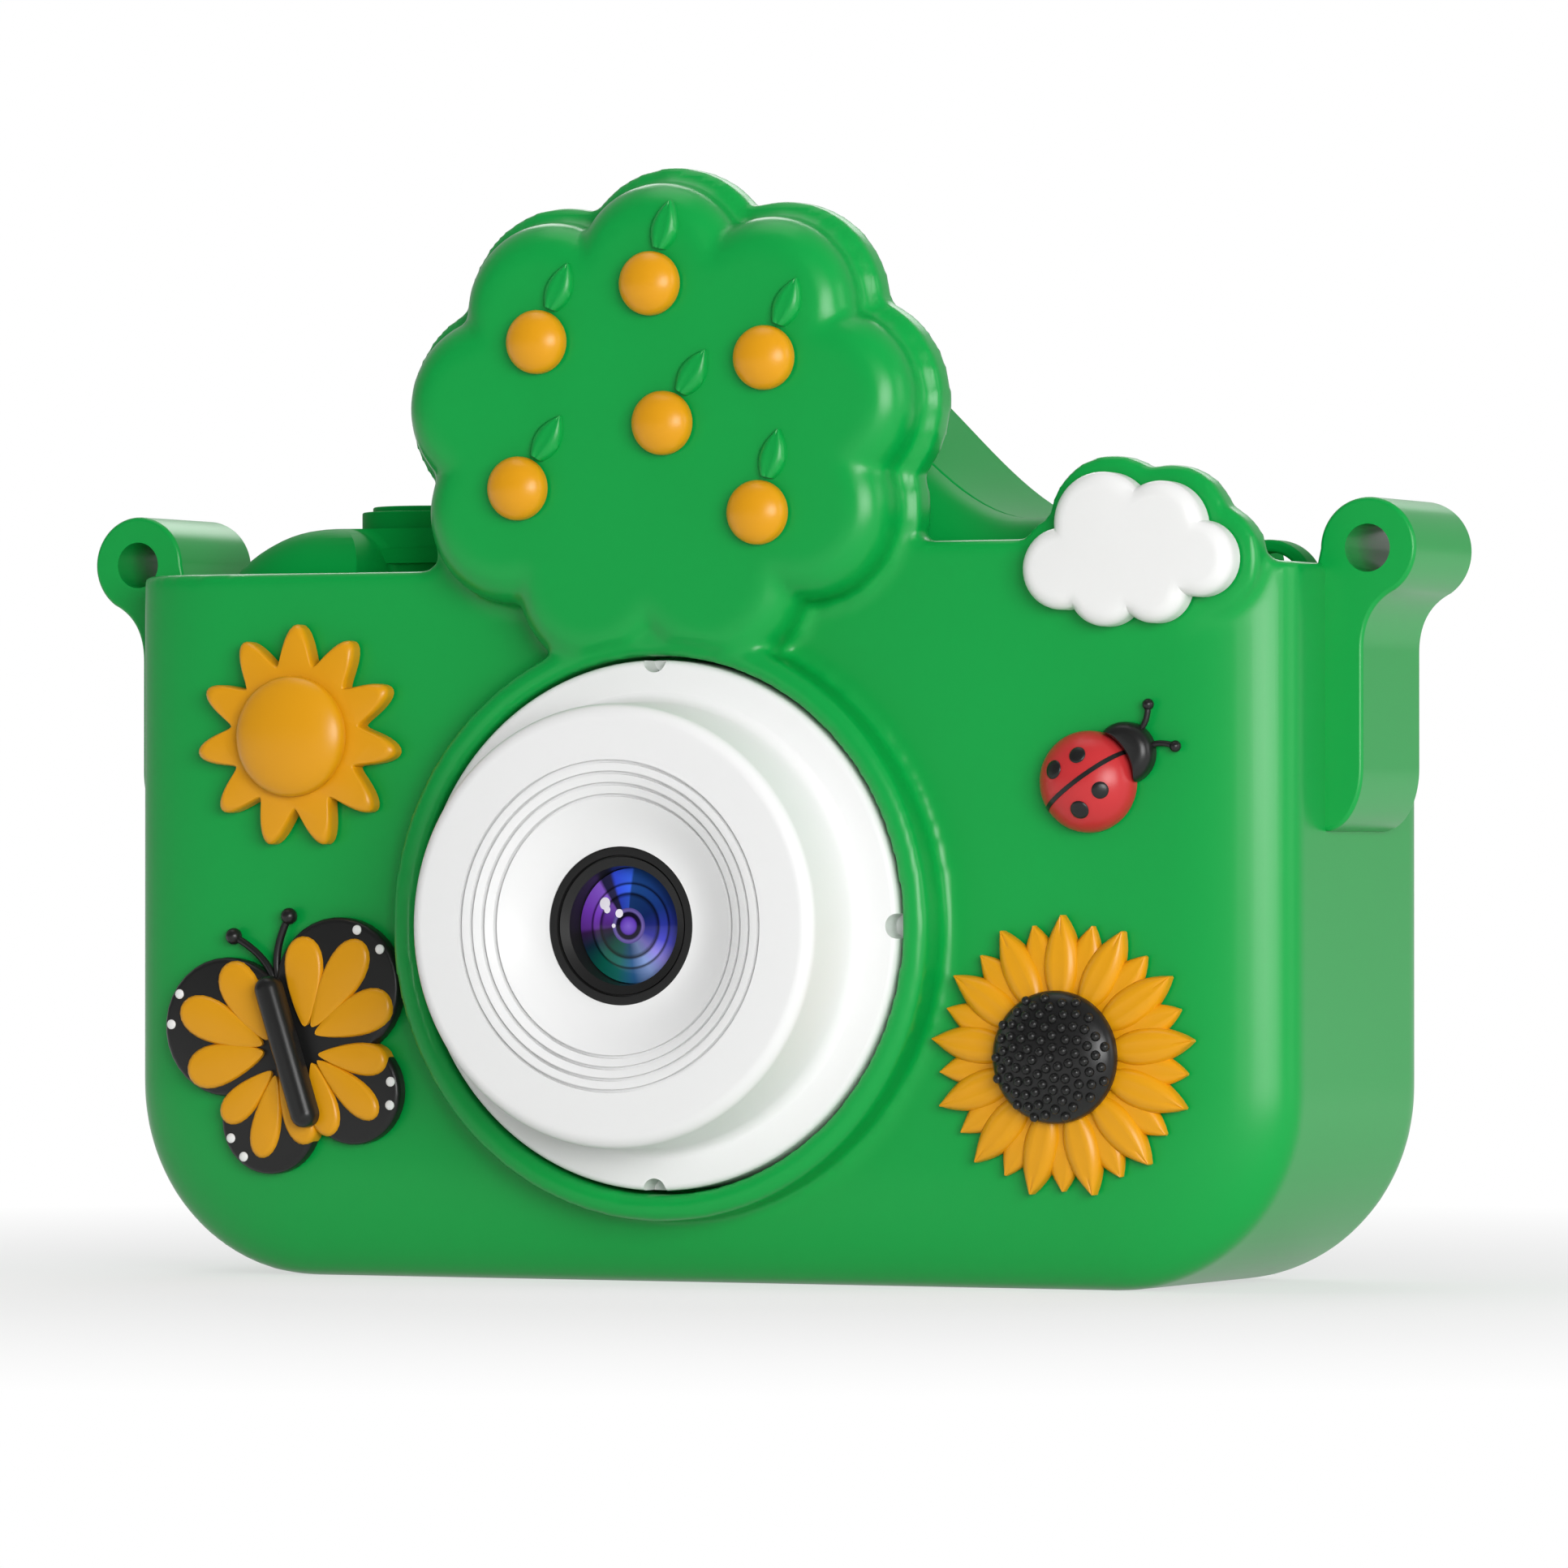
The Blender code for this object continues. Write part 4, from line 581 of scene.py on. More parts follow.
def add_maths(tree, operation, *values):
    """The result of a maths node."""
    made = add_node(tree, "ShaderNodeMath", *values)
    made.operation = operation
    return made.outputs["Value"]


class Finish:
    """A node material under construction, with its principled shader."""

    def __init__(self, name, base, roughness, metallic=0.0):
        self.material = bpy.data.materials.new(name)
        self.material.use_nodes = True
        self.material.diffuse_color = (*base, 1.0)
        self.tree = self.material.node_tree
        self.shader = self.tree.nodes["Principled BSDF"]
        self.set(Base_Color=base, Roughness=roughness, Metallic=metallic)
        self.places = self.node("ShaderNodeTexCoord").outputs["Object"]

    def set(self, **values):
        """Feeds the shader's own inputs."""
        for name, value in values.items():
            feed(self.tree, self.shader.inputs[name.replace("_", " ")], value)
        return self

    def node(self, kind, *values, **named):
        return add_node(self.tree, kind, *values, **named)

    def maths(self, operation, *values):
        return add_maths(self.tree, operation, *values)

    def noise(self, scale, detail=0.0):
        made = self.node("ShaderNodeTexNoise", Vector=self.places, Scale=scale, Detail=detail)
        return made.outputs["Fac"]

    def spread(self, factor, low, high):
        """Maps a factor of 0 to 1 onto a range."""
        return self.node("ShaderNodeMapRange", Value=factor, To_Min=low, To_Max=high).outputs["Result"]

    def mix(self, factor, first, second, blend="MIX"):
        """Two colours, or colour outputs, mixed by a factor."""
        made = self.node("ShaderNodeMix")
        made.data_type = "RGBA"
        made.blend_type = blend
        for i, value in ((0, factor), (6, first), (7, second)):
            feed(self.tree, made.inputs[i], value)
        return made.outputs[2]

    def plane(self, centre_u, centre_v, unit=1.0):
        """Places across and up from a centre, in a unit of length."""
        split = self.node("ShaderNodeSeparateXYZ", self.places)
        return [self.maths("DIVIDE", self.maths("SUBTRACT", split.outputs[axis], centre), unit)
                for axis, centre in (("X", centre_u), ("Z", centre_v))]

    def distance(self, across, up, u, v):
        """Distance of a point in the plane from a fixed point."""
        du, dv = self.maths("SUBTRACT", across, u), self.maths("SUBTRACT", up, v)
        squares = self.maths("ADD", self.maths("MULTIPLY", du, du), self.maths("MULTIPLY", dv, dv))
        return self.maths("SQRT", squares)

    def ramp(self, factor, stops):
        """A colour ramp through (place, colour) stops."""
        made = self.node("ShaderNodeValToRGB", factor)
        band = made.color_ramp
        while len(band.elements) < len(stops):
            band.elements.new(0.5)
        for element, (place, value) in zip(band.elements, stops):
            element.position = place
            element.color = (*value, 1.0)
        return made.outputs["Color"]

    def bump(self, height, strength, distance):
        made = self.node("ShaderNodeBump", Strength=strength, Distance=distance, Height=height)
        return self.set(Normal=made.outputs["Normal"])


def shaded(base, factor):
    return tuple(min(1.0, c * factor) for c in base)


# Moulded surfaces: drift of tone, its scale, the scale of the drift of shine, depth of the grain
SILICONE = (0.05, 30.0, 70.0, 0.00006)
PLASTIC = (0.02, 40.0, 90.0, 0.00005)
SHINE_DRIFT = 0.02
GRAIN_SCALE = 1900.0
GRAIN_STRENGTH = 0.01


def moulded(name, base, roughness, gloss, kind):
    """A moulded surface: a slight drift of tone and of shine, and a very fine grain."""
    drift, tone_scale, shine_scale, grain = kind
    made = Finish(name, base, roughness)
    low, high = roughness - SHINE_DRIFT, roughness + SHINE_DRIFT
    made.set(Base_Color=made.mix(made.noise(tone_scale), shaded(base, 1 - drift), shaded(base, 1 + drift)),
             Roughness=made.spread(made.noise(shine_scale), low, high), Specular_IOR_Level=gloss)
    return made.bump(made.noise(GRAIN_SCALE), GRAIN_STRENGTH, grain).material


def brushed_metal(name, base, roughness):
    """Plated sheet metal with fine streaks."""
    made = Finish(name, base, roughness, 1.0)
    made.set(Base_Color=made.mix(made.noise(300.0, 3.0), shaded(base, 0.9), shaded(base, 1.1)),
             Roughness=made.spread(made.noise(900.0, 3.0), roughness - 0.08, roughness + 0.08))
    return made.bump(made.noise(2500.0, 4.0), 0.05, 0.00004).material


def circuit_board(name):
    """Green solder mask with paler copper tracks under it."""
    made = Finish(name, (0.010, 0.100, 0.050), 0.4)
    tracks = made.node("ShaderNodeTexBrick", Vector=made.places, Scale=260.0, Mortar_Size=0.06,
                       Color1=(0.008, 0.085, 0.042), Color2=(0.012, 0.110, 0.055),
                       Mortar=(0.040, 0.210, 0.090))
    made.set(Base_Color=tracks.outputs["Color"])
    return made.bump(tracks.outputs["Fac"], 0.2, 0.00003).material


def tone(red, green, blue):
    """A linear colour from display values of 0 to 255."""
    values = [c / 255 for c in (red, green, blue)]
    return tuple(c / 12.92 if c <= 0.04045 else ((c + 0.055) / 1.055) ** 2.4 for c in values)


# The coated glass, painted light: colours of painted reflections round the lens by share of a turn,
# brightness of those reflections in rings, with dark rings between, by share of the radius, colours of the
# pupil with its painted reflections, and painted glints (across, up, size)
PAINTED_REFLECTIONS = ((0.00, (44, 54, 160)), (0.08, (22, 52, 124)), (0.20, (26, 68, 134)), (0.243, (32, 72, 142)),
           (0.250, (62, 110, 250)), (0.310, (58, 84, 236)), (0.322, (46, 44, 80)), (0.352, (42, 40, 76)),
           (0.364, (150, 100, 225)), (0.45, (128, 66, 200)), (0.51, (104, 52, 158)), (0.522, (58, 28, 80)),
           (0.57, (20, 48, 66)), (0.64, (14, 100, 84)), (0.70, (28, 112, 104)), (0.76, (46, 98, 150)),
           (0.82, (140, 165, 222)), (0.88, (152, 142, 236)), (0.94, (74, 74, 206)), (1.00, (44, 54, 160)))
PAINTED_REFLECTION_RINGS = ((0.00, 0.55), (0.30, 0.50), (0.46, 0.55), (0.52, 0.06), (0.555, 0.95), (0.655, 1.05),
               (0.685, 0.08), (0.72, 0.90), (0.93, 1.0), (0.97, 0.35), (1.00, 0.05))
PUPIL_AND_REFLECTIONS = ((0.00, (128, 96, 205)), (0.13, (96, 58, 180)), (0.16, (14, 8, 34)), (0.215, (16, 10, 40)),
         (0.245, (112, 96, 170)), (0.30, (70, 60, 130)))
PUPIL_RADIUS = 0.29
# Painted glints: pale discs that stand for highlights on the glass
PAINTED_GLINTS = ((-0.45, 0.36, 0.10), (-0.17, 0.20, 0.07), (-0.27, 0.00, 0.035), (-0.40, 0.26, 0.06))
PAINTED_GLINT_COLOUR = (0.90, 0.86, 0.95)

# The screen's window: its border, the picture area behind it, and that area's share of the window
WINDOW_BORDER = (0.006, 0.006, 0.007)
WINDOW_PICTURE = (0.020, 0.023, 0.028)
PICTURE_SHARE = 0.88


def coated_glass(name, centre_u, centre_v, radius):
    """Coated lens glass in painted light: painted coloured reflections in sectors, dark rings, a violet pupil
    of painted reflections and painted glints.
    """
    made = Finish(name, (0.05, 0.04, 0.16), 0.10)
    across, up = made.plane(centre_u, centre_v, radius)
    turn = made.maths("DIVIDE", made.maths("ARCTAN2", up, across), 2 * math.pi)
    turn = made.maths("FRACT", made.maths("ADD", turn, 1.0))
    out = made.distance(across, up, 0.0, 0.0)
    # Painted coloured reflections round the lens, brighter and darker in rings by the radius, with dark rings
    # between
    sectors = made.ramp(turn, [(place, tone(*value)) for place, value in PAINTED_REFLECTIONS])
    rings = made.ramp(out, [(place, (level,) * 3) for place, level in PAINTED_REFLECTION_RINGS])
    # The pupil: a dark ring with painted violet reflections in its middle and round it
    pupil = made.ramp(out, [(place, tone(*value)) for place, value in PUPIL_AND_REFLECTIONS])
    face = made.mix(1.0, sectors, rings, "MULTIPLY")
    face = made.mix(made.maths("LESS_THAN", out, PUPIL_RADIUS), face, pupil)
    # Painted glints: pale discs put where highlights would be on the glass
    for u, v, size in PAINTED_GLINTS:
        near = made.maths("LESS_THAN", made.distance(across, up, u, v), size)
        face = made.mix(near, face, PAINTED_GLINT_COLOUR)
    made.set(Base_Color=face, Specular_IOR_Level=0.15, Coat_Weight=0.15, Coat_Roughness=0.03)
    return made.material


def screen_glass(name, centre_u, centre_v, width, tall):
    """A dark window with a slightly paler picture area behind it."""
    made = Finish(name, WINDOW_BORDER, 0.09)
    sides = [made.maths("LESS_THAN", made.maths("ABSOLUTE", place), size / 2)
             for place, size in zip(made.plane(centre_u, centre_v), (width, tall))]
    made.set(Base_Color=made.mix(made.maths("MULTIPLY", *sides), WINDOW_BORDER, WINDOW_PICTURE),
             Roughness=made.spread(made.noise(90.0, 3.0), 0.07, 0.11), Coat_Weight=0.6, Coat_Roughness=0.04)
    return made.material


# Finishes: name, colour where the scene has none for it, roughness and gloss
SILICONES = ("green_silicone", "amber_silicone", "white_silicone", "black_silicone", "red_silicone")
SILICONE_LOOK = (0.30, 0.34)
PLASTICS = (("green_plastic", None, 0.48, 0.03), ("white_plastic", None, 0.30, 0.25),
            ("black_plastic", None, 0.36, 0.25), ("grey_print", None, 0.5, 0.25),
            ("cable_amber", (0.420, 0.180, 0.030), 0.4, 0.25), ("lead_red", (0.450, 0.020, 0.020), 0.5, 0.25))
METALS = (("steel", (0.560, 0.560, 0.570), 0.32), ("gold_contact", (0.750, 0.520, 0.200), 0.28),
          ("cell_foil", (0.600, 0.600, 0.620), 0.42))
FINISHES = {}


def make_finishes(context):
    """All finishes, by name, from the scene's colours and sizes."""
    colours, lens, rear = sizes(context, "colours", "lens", "rear")
    for name in SILICONES:
        FINISHES[name] = moulded(name, tuple(getattr(colours, name)), *SILICONE_LOOK, SILICONE)
    for name, base, roughness, gloss in PLASTICS:
        FINISHES[name] = moulded(name, base or tuple(getattr(colours, name)), roughness, gloss, PLASTIC)
    for metal in METALS:
        FINISHES[metal[0]] = brushed_metal(*metal)
    FINISHES["board_green"] = circuit_board("board_green")
    FINISHES["coated_glass"] = coated_glass("coated_glass", lens.x, lens.height,
                                            lens.bezel_radius - lens.bezel_wall)
    FINISHES["small_coated_glass"] = coated_glass("small_coated_glass", 0.0, rear.ring_height,
                                                  rear.ring_radius - rear.ring_wall)
    width, tall = rear.window_width * PICTURE_SHARE, rear.window_tall * PICTURE_SHARE
    FINISHES["window_glass"] = screen_glass("window_glass", rear.screen_x, rear.screen_height, width, tall)


def sleeve_outline(sleeve, inset, top):
    """The sleeve's front view without its crest."""
    half, radius = sleeve.width / 2 - inset, sleeve.corner - inset
    left = arc(-half + radius, inset + radius, radius, 180, 270)
    right = arc(half - radius, inset + radius, radius, 270, 360)
    return left + right + [(half, top), (-half, top)]


def sleeve_rings(sleeve, top):
    """The sleeve's outlines from front to rear: an elliptical front edge and a round rear edge."""
    half = sleeve.depth / 2
    front = [(sleeve.front_round * (1 - s), -half + sleeve.front_depth * (1 - c))
             for c, s in arc(0, 0, 1, 0, 90)]
    rear = arc(sleeve.rear_round, half - sleeve.rear_round, sleeve.rear_round, 180, 90)
    return [[(u, y, v) for u, v in sleeve_outline(sleeve, inset, top)] for inset, y in front + rear]


def camera_outline(housing, at, inset):
    """The camera's front view, with its hump and the step for the strap bar."""
    half, base, top = at.camera_half - inset, at.camera_base + inset, housing.top - inset
    low, high = at.camera_corner - inset, housing.shoulder - inset
    hump = housing.hump_half - inset
    across = [hump - 2 * hump * i / HUMP_STEPS for i in range(HUMP_STEPS + 1)]
    outline = arc(-half + low, base + low, low, 180, 270) + arc(half - low, base + low, low, 270, 360)
    outline += [(half, top - housing.notch_drop), (half - housing.notch_width, top - housing.notch_drop)]
    corner = housing.notch_round - inset
    outline += arc(half - housing.notch_width - corner, top - corner, corner, 0, 90)
    outline += [(x, top + housing.hump_rise * (1 + math.cos(math.pi * x / hump)) / 2) for x in across]
    return outline + arc(-half + high, top - high, high, 90, 180)


def crown_lobes(crown, margin):
    """The tree crown's lobes, placed round an ellipse."""
    angles = [math.radians(90 + 360 * i / crown.lobes) for i in range(crown.lobes)]
    return [(crown.x + crown.reach_x * math.cos(a), crown.height + crown.reach_z * math.sin(a),
             crown.lobe_radius + margin) for a in angles]


# The cloud's lobes: across, up, radius
CLOUD_LOBES = ((-0.0050, -0.0002, 0.0029), (-0.0019, 0.0030, 0.0036), (0.0025, 0.0026, 0.0033),
               (0.0054, 0.0004, 0.0027), (0.0020, -0.0015, 0.0026), (-0.0017, -0.0016, 0.0027))


def cloud_lobes(inlays, margin):
    """The cloud's lobes, anticlockwise, each grown by a margin."""
    return [(inlays.cloud_x + u, inlays.cloud_height + v, radius + margin)
            for u, v, radius in reversed(CLOUD_LOBES)]


# Where the ear's round leaves its neck, in degrees, and where the neck's curve begins and bends,
# in ear radii below the hole
EAR_LEAVES = -56
NECK_BEGINS, NECK_BENDS = 2.0, 1.15
EAR_EDGE = 0.0003


def ear(sleeve, side):
    """One ear with its rib, on the side wall. Side is 1 on the right and -1 on the left."""
    half = sleeve.width / 2
    centre, radius = sleeve.ear_spacing / 2, sleeve.ear_radius
    inner, outer = half - sleeve.wall / 2, half + sleeve.rib_stand
    low = sleeve.ear_height - sleeve.rib_length
    outline = [(inner, low - sleeve.rib_taper / 3)]
    outline += [(half + sleeve.rib_stand * s, low + sleeve.rib_taper * (1 - c))
                for c, s in arc(0, 0, 1, 0, 90)]
    tail = arc(centre, sleeve.ear_height, radius, EAR_LEAVES, 180, 3 * CORNER_STEPS)
    begin, end = Vector((outer, sleeve.ear_height - radius * NECK_BEGINS)), Vector(tail[0])
    bend = Vector((outer, sleeve.ear_height - radius * NECK_BENDS))
    steps = [i / CORNER_STEPS for i in range(CORNER_STEPS)]
    outline += [tuple(begin * (1 - t) ** 2 + bend * 2 * t * (1 - t) + end * t * t) for t in steps]
    outline += tail + [(inner, sleeve.ear_height - radius)]
    front = -sleeve.depth / 2 + sleeve.ear_setback
    made = prism("ear", [(side * u, v) for u, v in outline], front, front + sleeve.ear_length)
    return round_rims(made, "Y", EAR_EDGE, EAR_EDGE, segments=5)


# The opening for the ports: room round them and radius of its corners
PORT_MARGIN, PORT_ROUND = 0.0022, 0.0016


def port_corners(rear):
    """Low and high (y, z) corners of the opening in the sleeve's left wall, from the frame's ports."""
    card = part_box("memory_card")
    tall = (card[1][2] - card[0][2]) / 2 + PORT_MARGIN
    return ((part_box("card_socket")[0][1] - PORT_MARGIN, rear.port_height - tall),
            (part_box("usb_socket")[1][1] + PORT_MARGIN, rear.port_height + tall))


# The moulded surface: cell of its mesh, smoothing passes, and the angle in degrees below which faces merge
GRAIN, SOFTEN, FLATNESS = 0.00042, 4, 0.05


class KIDSCAM_OT_sleeve(Operator):
    """Moulds the silicone sleeve with its crest, collar and ears"""
    bl_idname = "kidscam.sleeve"
    bl_label = "Silicone sleeve"

    def execute(self, context):
        sleeve, crown, lens, rear, inlays = sizes(context, "sleeve", "crown", "lens", "rear", "inlays")
        at = Places(context)
        headroom = sleeve.top + 2 * sleeve.front_round
        piece = lofted("sleeve", sleeve_rings(sleeve, headroom))
        room = prism("room", sleeve_outline(sleeve, sleeve.wall, headroom + PAST),
                     at.front + sleeve.wall, at.rear - sleeve.lip_thickness)
        round_rims(room, "Y", sleeve.front_round - sleeve.wall, 0)
        window = prism("window", rectangle(-at.panel_half - at.gap, at.panel_base - at.gap,
                                           at.panel_half + at.gap, headroom + PAST), 0, at.rear + PAST)
        above = block("above", (-at.half - PAST, at.front - PAST, sleeve.top),
                      (at.half + PAST, at.rear + PAST, headroom + 2 * PAST))
        cut(piece, room, window, above)
        back = at.front + sleeve.wall
        axis = (lens.x, 0, lens.height)
        rise = -at.front + sleeve.collar_rise
        join(piece, *self.plates(sleeve, crown, inlays, at.front, back), self.relief(crown, at, axis),
             self.collar(sleeve, at, axis, rise))
        low, high = port_corners(rear)
        cut(piece, rod("opening", at.collar_inner, axis, -back - PAST, rise + PAST, steps=LENS_STEPS),
            prism("port", rounded_rectangle(*low, *high, PORT_ROUND), -at.half - PAST,
                  -at.camera_half, "X"))
        modify(piece, "REMESH", mode="VOXEL", voxel_size=GRAIN)
        modify(piece, "SMOOTH", iterations=SOFTEN)
        modify(piece, "DECIMATE", decimate_type="DISSOLVE", angle_limit=math.radians(FLATNESS))
        settle(piece)
        for side in (-1, 1):
            middle = (side * sleeve.ear_spacing / 2, 0, sleeve.ear_height)
            join(piece, cut(ear(sleeve, side), rod("bore", sleeve.ear_bore, middle, at.front, at.rear)))
        modify(shade(piece, SLEEVE_EDGE), "WEIGHTED_NORMAL", keep_sharp=True)
        dress(settle(piece), "green_silicone", "silicone_sleeve")
        return {"FINISHED"}

    def plates(self, sleeve, crown, inlays, front, back):
        """What stands above the front wall: the crest, its root, the cloud's plate and the saddle."""
        low = sleeve.top - OVERLAP
        crest = lobed(crown_lobes(crown, crown.margin))
        left = [point for point in crest if point[0] < crown.x]
        root = min(left, key=lambda point: abs(point[1] - sleeve.top))[0]
        sweep = arc(root - crown.root, sleeve.top + crown.root, crown.root, 0, -90)
        edge = root + OVERLAP
        outlines = {
            "crest": crest,
            "crest_root": [(edge, low), (edge, sweep[0][1])] + sweep + [(sweep[-1][0], low)],
            "cloud_plate": lobed(cloud_lobes(inlays, crown.margin)),
            "saddle": rectangle(crown.x, low, inlays.cloud_x, sleeve.top + crown.saddle),
        }
        return [prism(name, outline, front, back) for name, outline in outlines.items()]

    def relief(self, crown, at, axis):
        """The tree crown's rounded relief, cut free of the collar."""
        made = prism("relief", lobed(crown_lobes(crown, 0)), at.crown_front, at.front + OVERLAP)
        round_rims(made, "Y", crown.rounding, 0)
        return cut(made, rod("trim", at.collar_radius - OVERLAP, axis, -at.front - PAST,
                             -at.crown_front + PAST, steps=LENS_STEPS))

    def collar(self, sleeve, at, axis, rise):
        """The raised collar round the lens."""
        foot, bore = -at.front - OVERLAP, at.collar_inner - OVERLAP
        profile = rounded_step(at.collar_radius, rise, sleeve.collar_width / 3)
        return turned("collar", profile + [(at.collar_radius, foot), (bore, foot), (bore, rise)], axis)


# The shells: the seam between them, their edges there, the lip that closes it, and the hole for the lens
SEAM, PARTING_EDGE, TONGUE, LENS_HOLE = 0.00012, 0.0003, 0.0008, 0.0059
# The finger scoop: where it begins, its width, its rounded side and the height of its floor
SCOOP_X, SCOOP_WIDTH, SCOOP_ROUND, SCOOP_FLOOR = -0.0323, 0.0080, 0.0039, 0.0490


class KIDSCAM_OT_front_housing(Operator):
    """Makes the front shell of the camera's housing"""
    bl_idname = "kidscam.front_housing"
    bl_label = "Front housing"

    def execute(self, context):
        housing, lens = sizes(context, "housing", "lens")
        at = Places(context)
        wall = housing.wall
        end = at.parting - SEAM / 2
        piece = prism("front_shell", camera_outline(housing, at, 0), at.camera_front, end)
        round_rims(piece, "Y", at.camera_round, PARTING_EDGE)
        room = prism("room", camera_outline(housing, at, wall), at.inner_front, end + PAST)
        round_rims(room, "Y", at.camera_round - wall, 0)
        scoop = arc(SCOOP_X, housing.top - SCOOP_ROUND, SCOOP_ROUND, 90, 0)
        floor = scoop[-1][0] + SCOOP_WIDTH
        ceiling = housing.top + housing.hump_rise
        cut(room, block("kept", (SCOOP_X - wall, at.camera_front, SCOOP_FLOOR - wall),
                        (floor + 2 * wall, end + 2 * PAST, ceiling)))
        scoop += [(scoop[-1][0], SCOOP_FLOOR), (floor, SCOOP_FLOOR)]
        scoop += [(floor + wall, ceiling), (SCOOP_X, ceiling)]
        dig = prism("scoop", scoop, at.camera_front - PAST, end - wall / 2)
        round_rims(dig, "Y", 0, wall / 3, segments=4)
        cut(piece, room, dig, rod("hole", LENS_HOLE, (lens.x, 0, lens.height),
                                  -at.inner_front - PAST, -at.camera_front + PAST))
        lip = prism("lip", camera_outline(housing, at, wall - at.gap), end - 2 * TONGUE, end - at.gap)
        join(lip, prism("tongue", camera_outline(housing, at, wall + at.gap / 3), end - TONGUE,
                        end + TONGUE))
        cut(lip, prism("lip_room", camera_outline(housing, at, wall + TONGUE), end - PAST, end + PAST))
        dress(shade(join(piece, lip)), "green_plastic", "front_housing")
        return {"FINISHED"}


def rear_keys(rear):
    """Each rear key's node, place and radius."""
    x, z, reach = rear.pad_x, rear.pad_height, rear.pad_reach
    return (("up_button", x, z + reach, rear.arrow_radius), ("down_button", x, z - reach, rear.arrow_radius),
            ("left_button", x + reach, z, rear.arrow_radius),
            ("right_button", x - reach, z, rear.arrow_radius),
            ("ok_button", x, z, rear.ok_radius),
            ("mode_button", x + rear.menu_reach, rear.menu_height, rear.menu_radius),
            ("playback_button", x - rear.menu_reach, rear.menu_height, rear.menu_radius))


# Corners of the rear panel and of the screen's seat, and the ledge behind the screen
PANEL_CORNER, WINDOW_LEDGE = 0.0012, 0.0020
# The strap bar: thickness, width, edges, radius of its arch, and its distance from the top and the side
STRAP_BAR, STRAP_DEPTH, STRAP_EDGE = 0.0009, 0.0024, 0.0003
STRAP_RADIUS, STRAP_DROP, STRAP_INSET = 0.0036, 0.0015, 0.0053


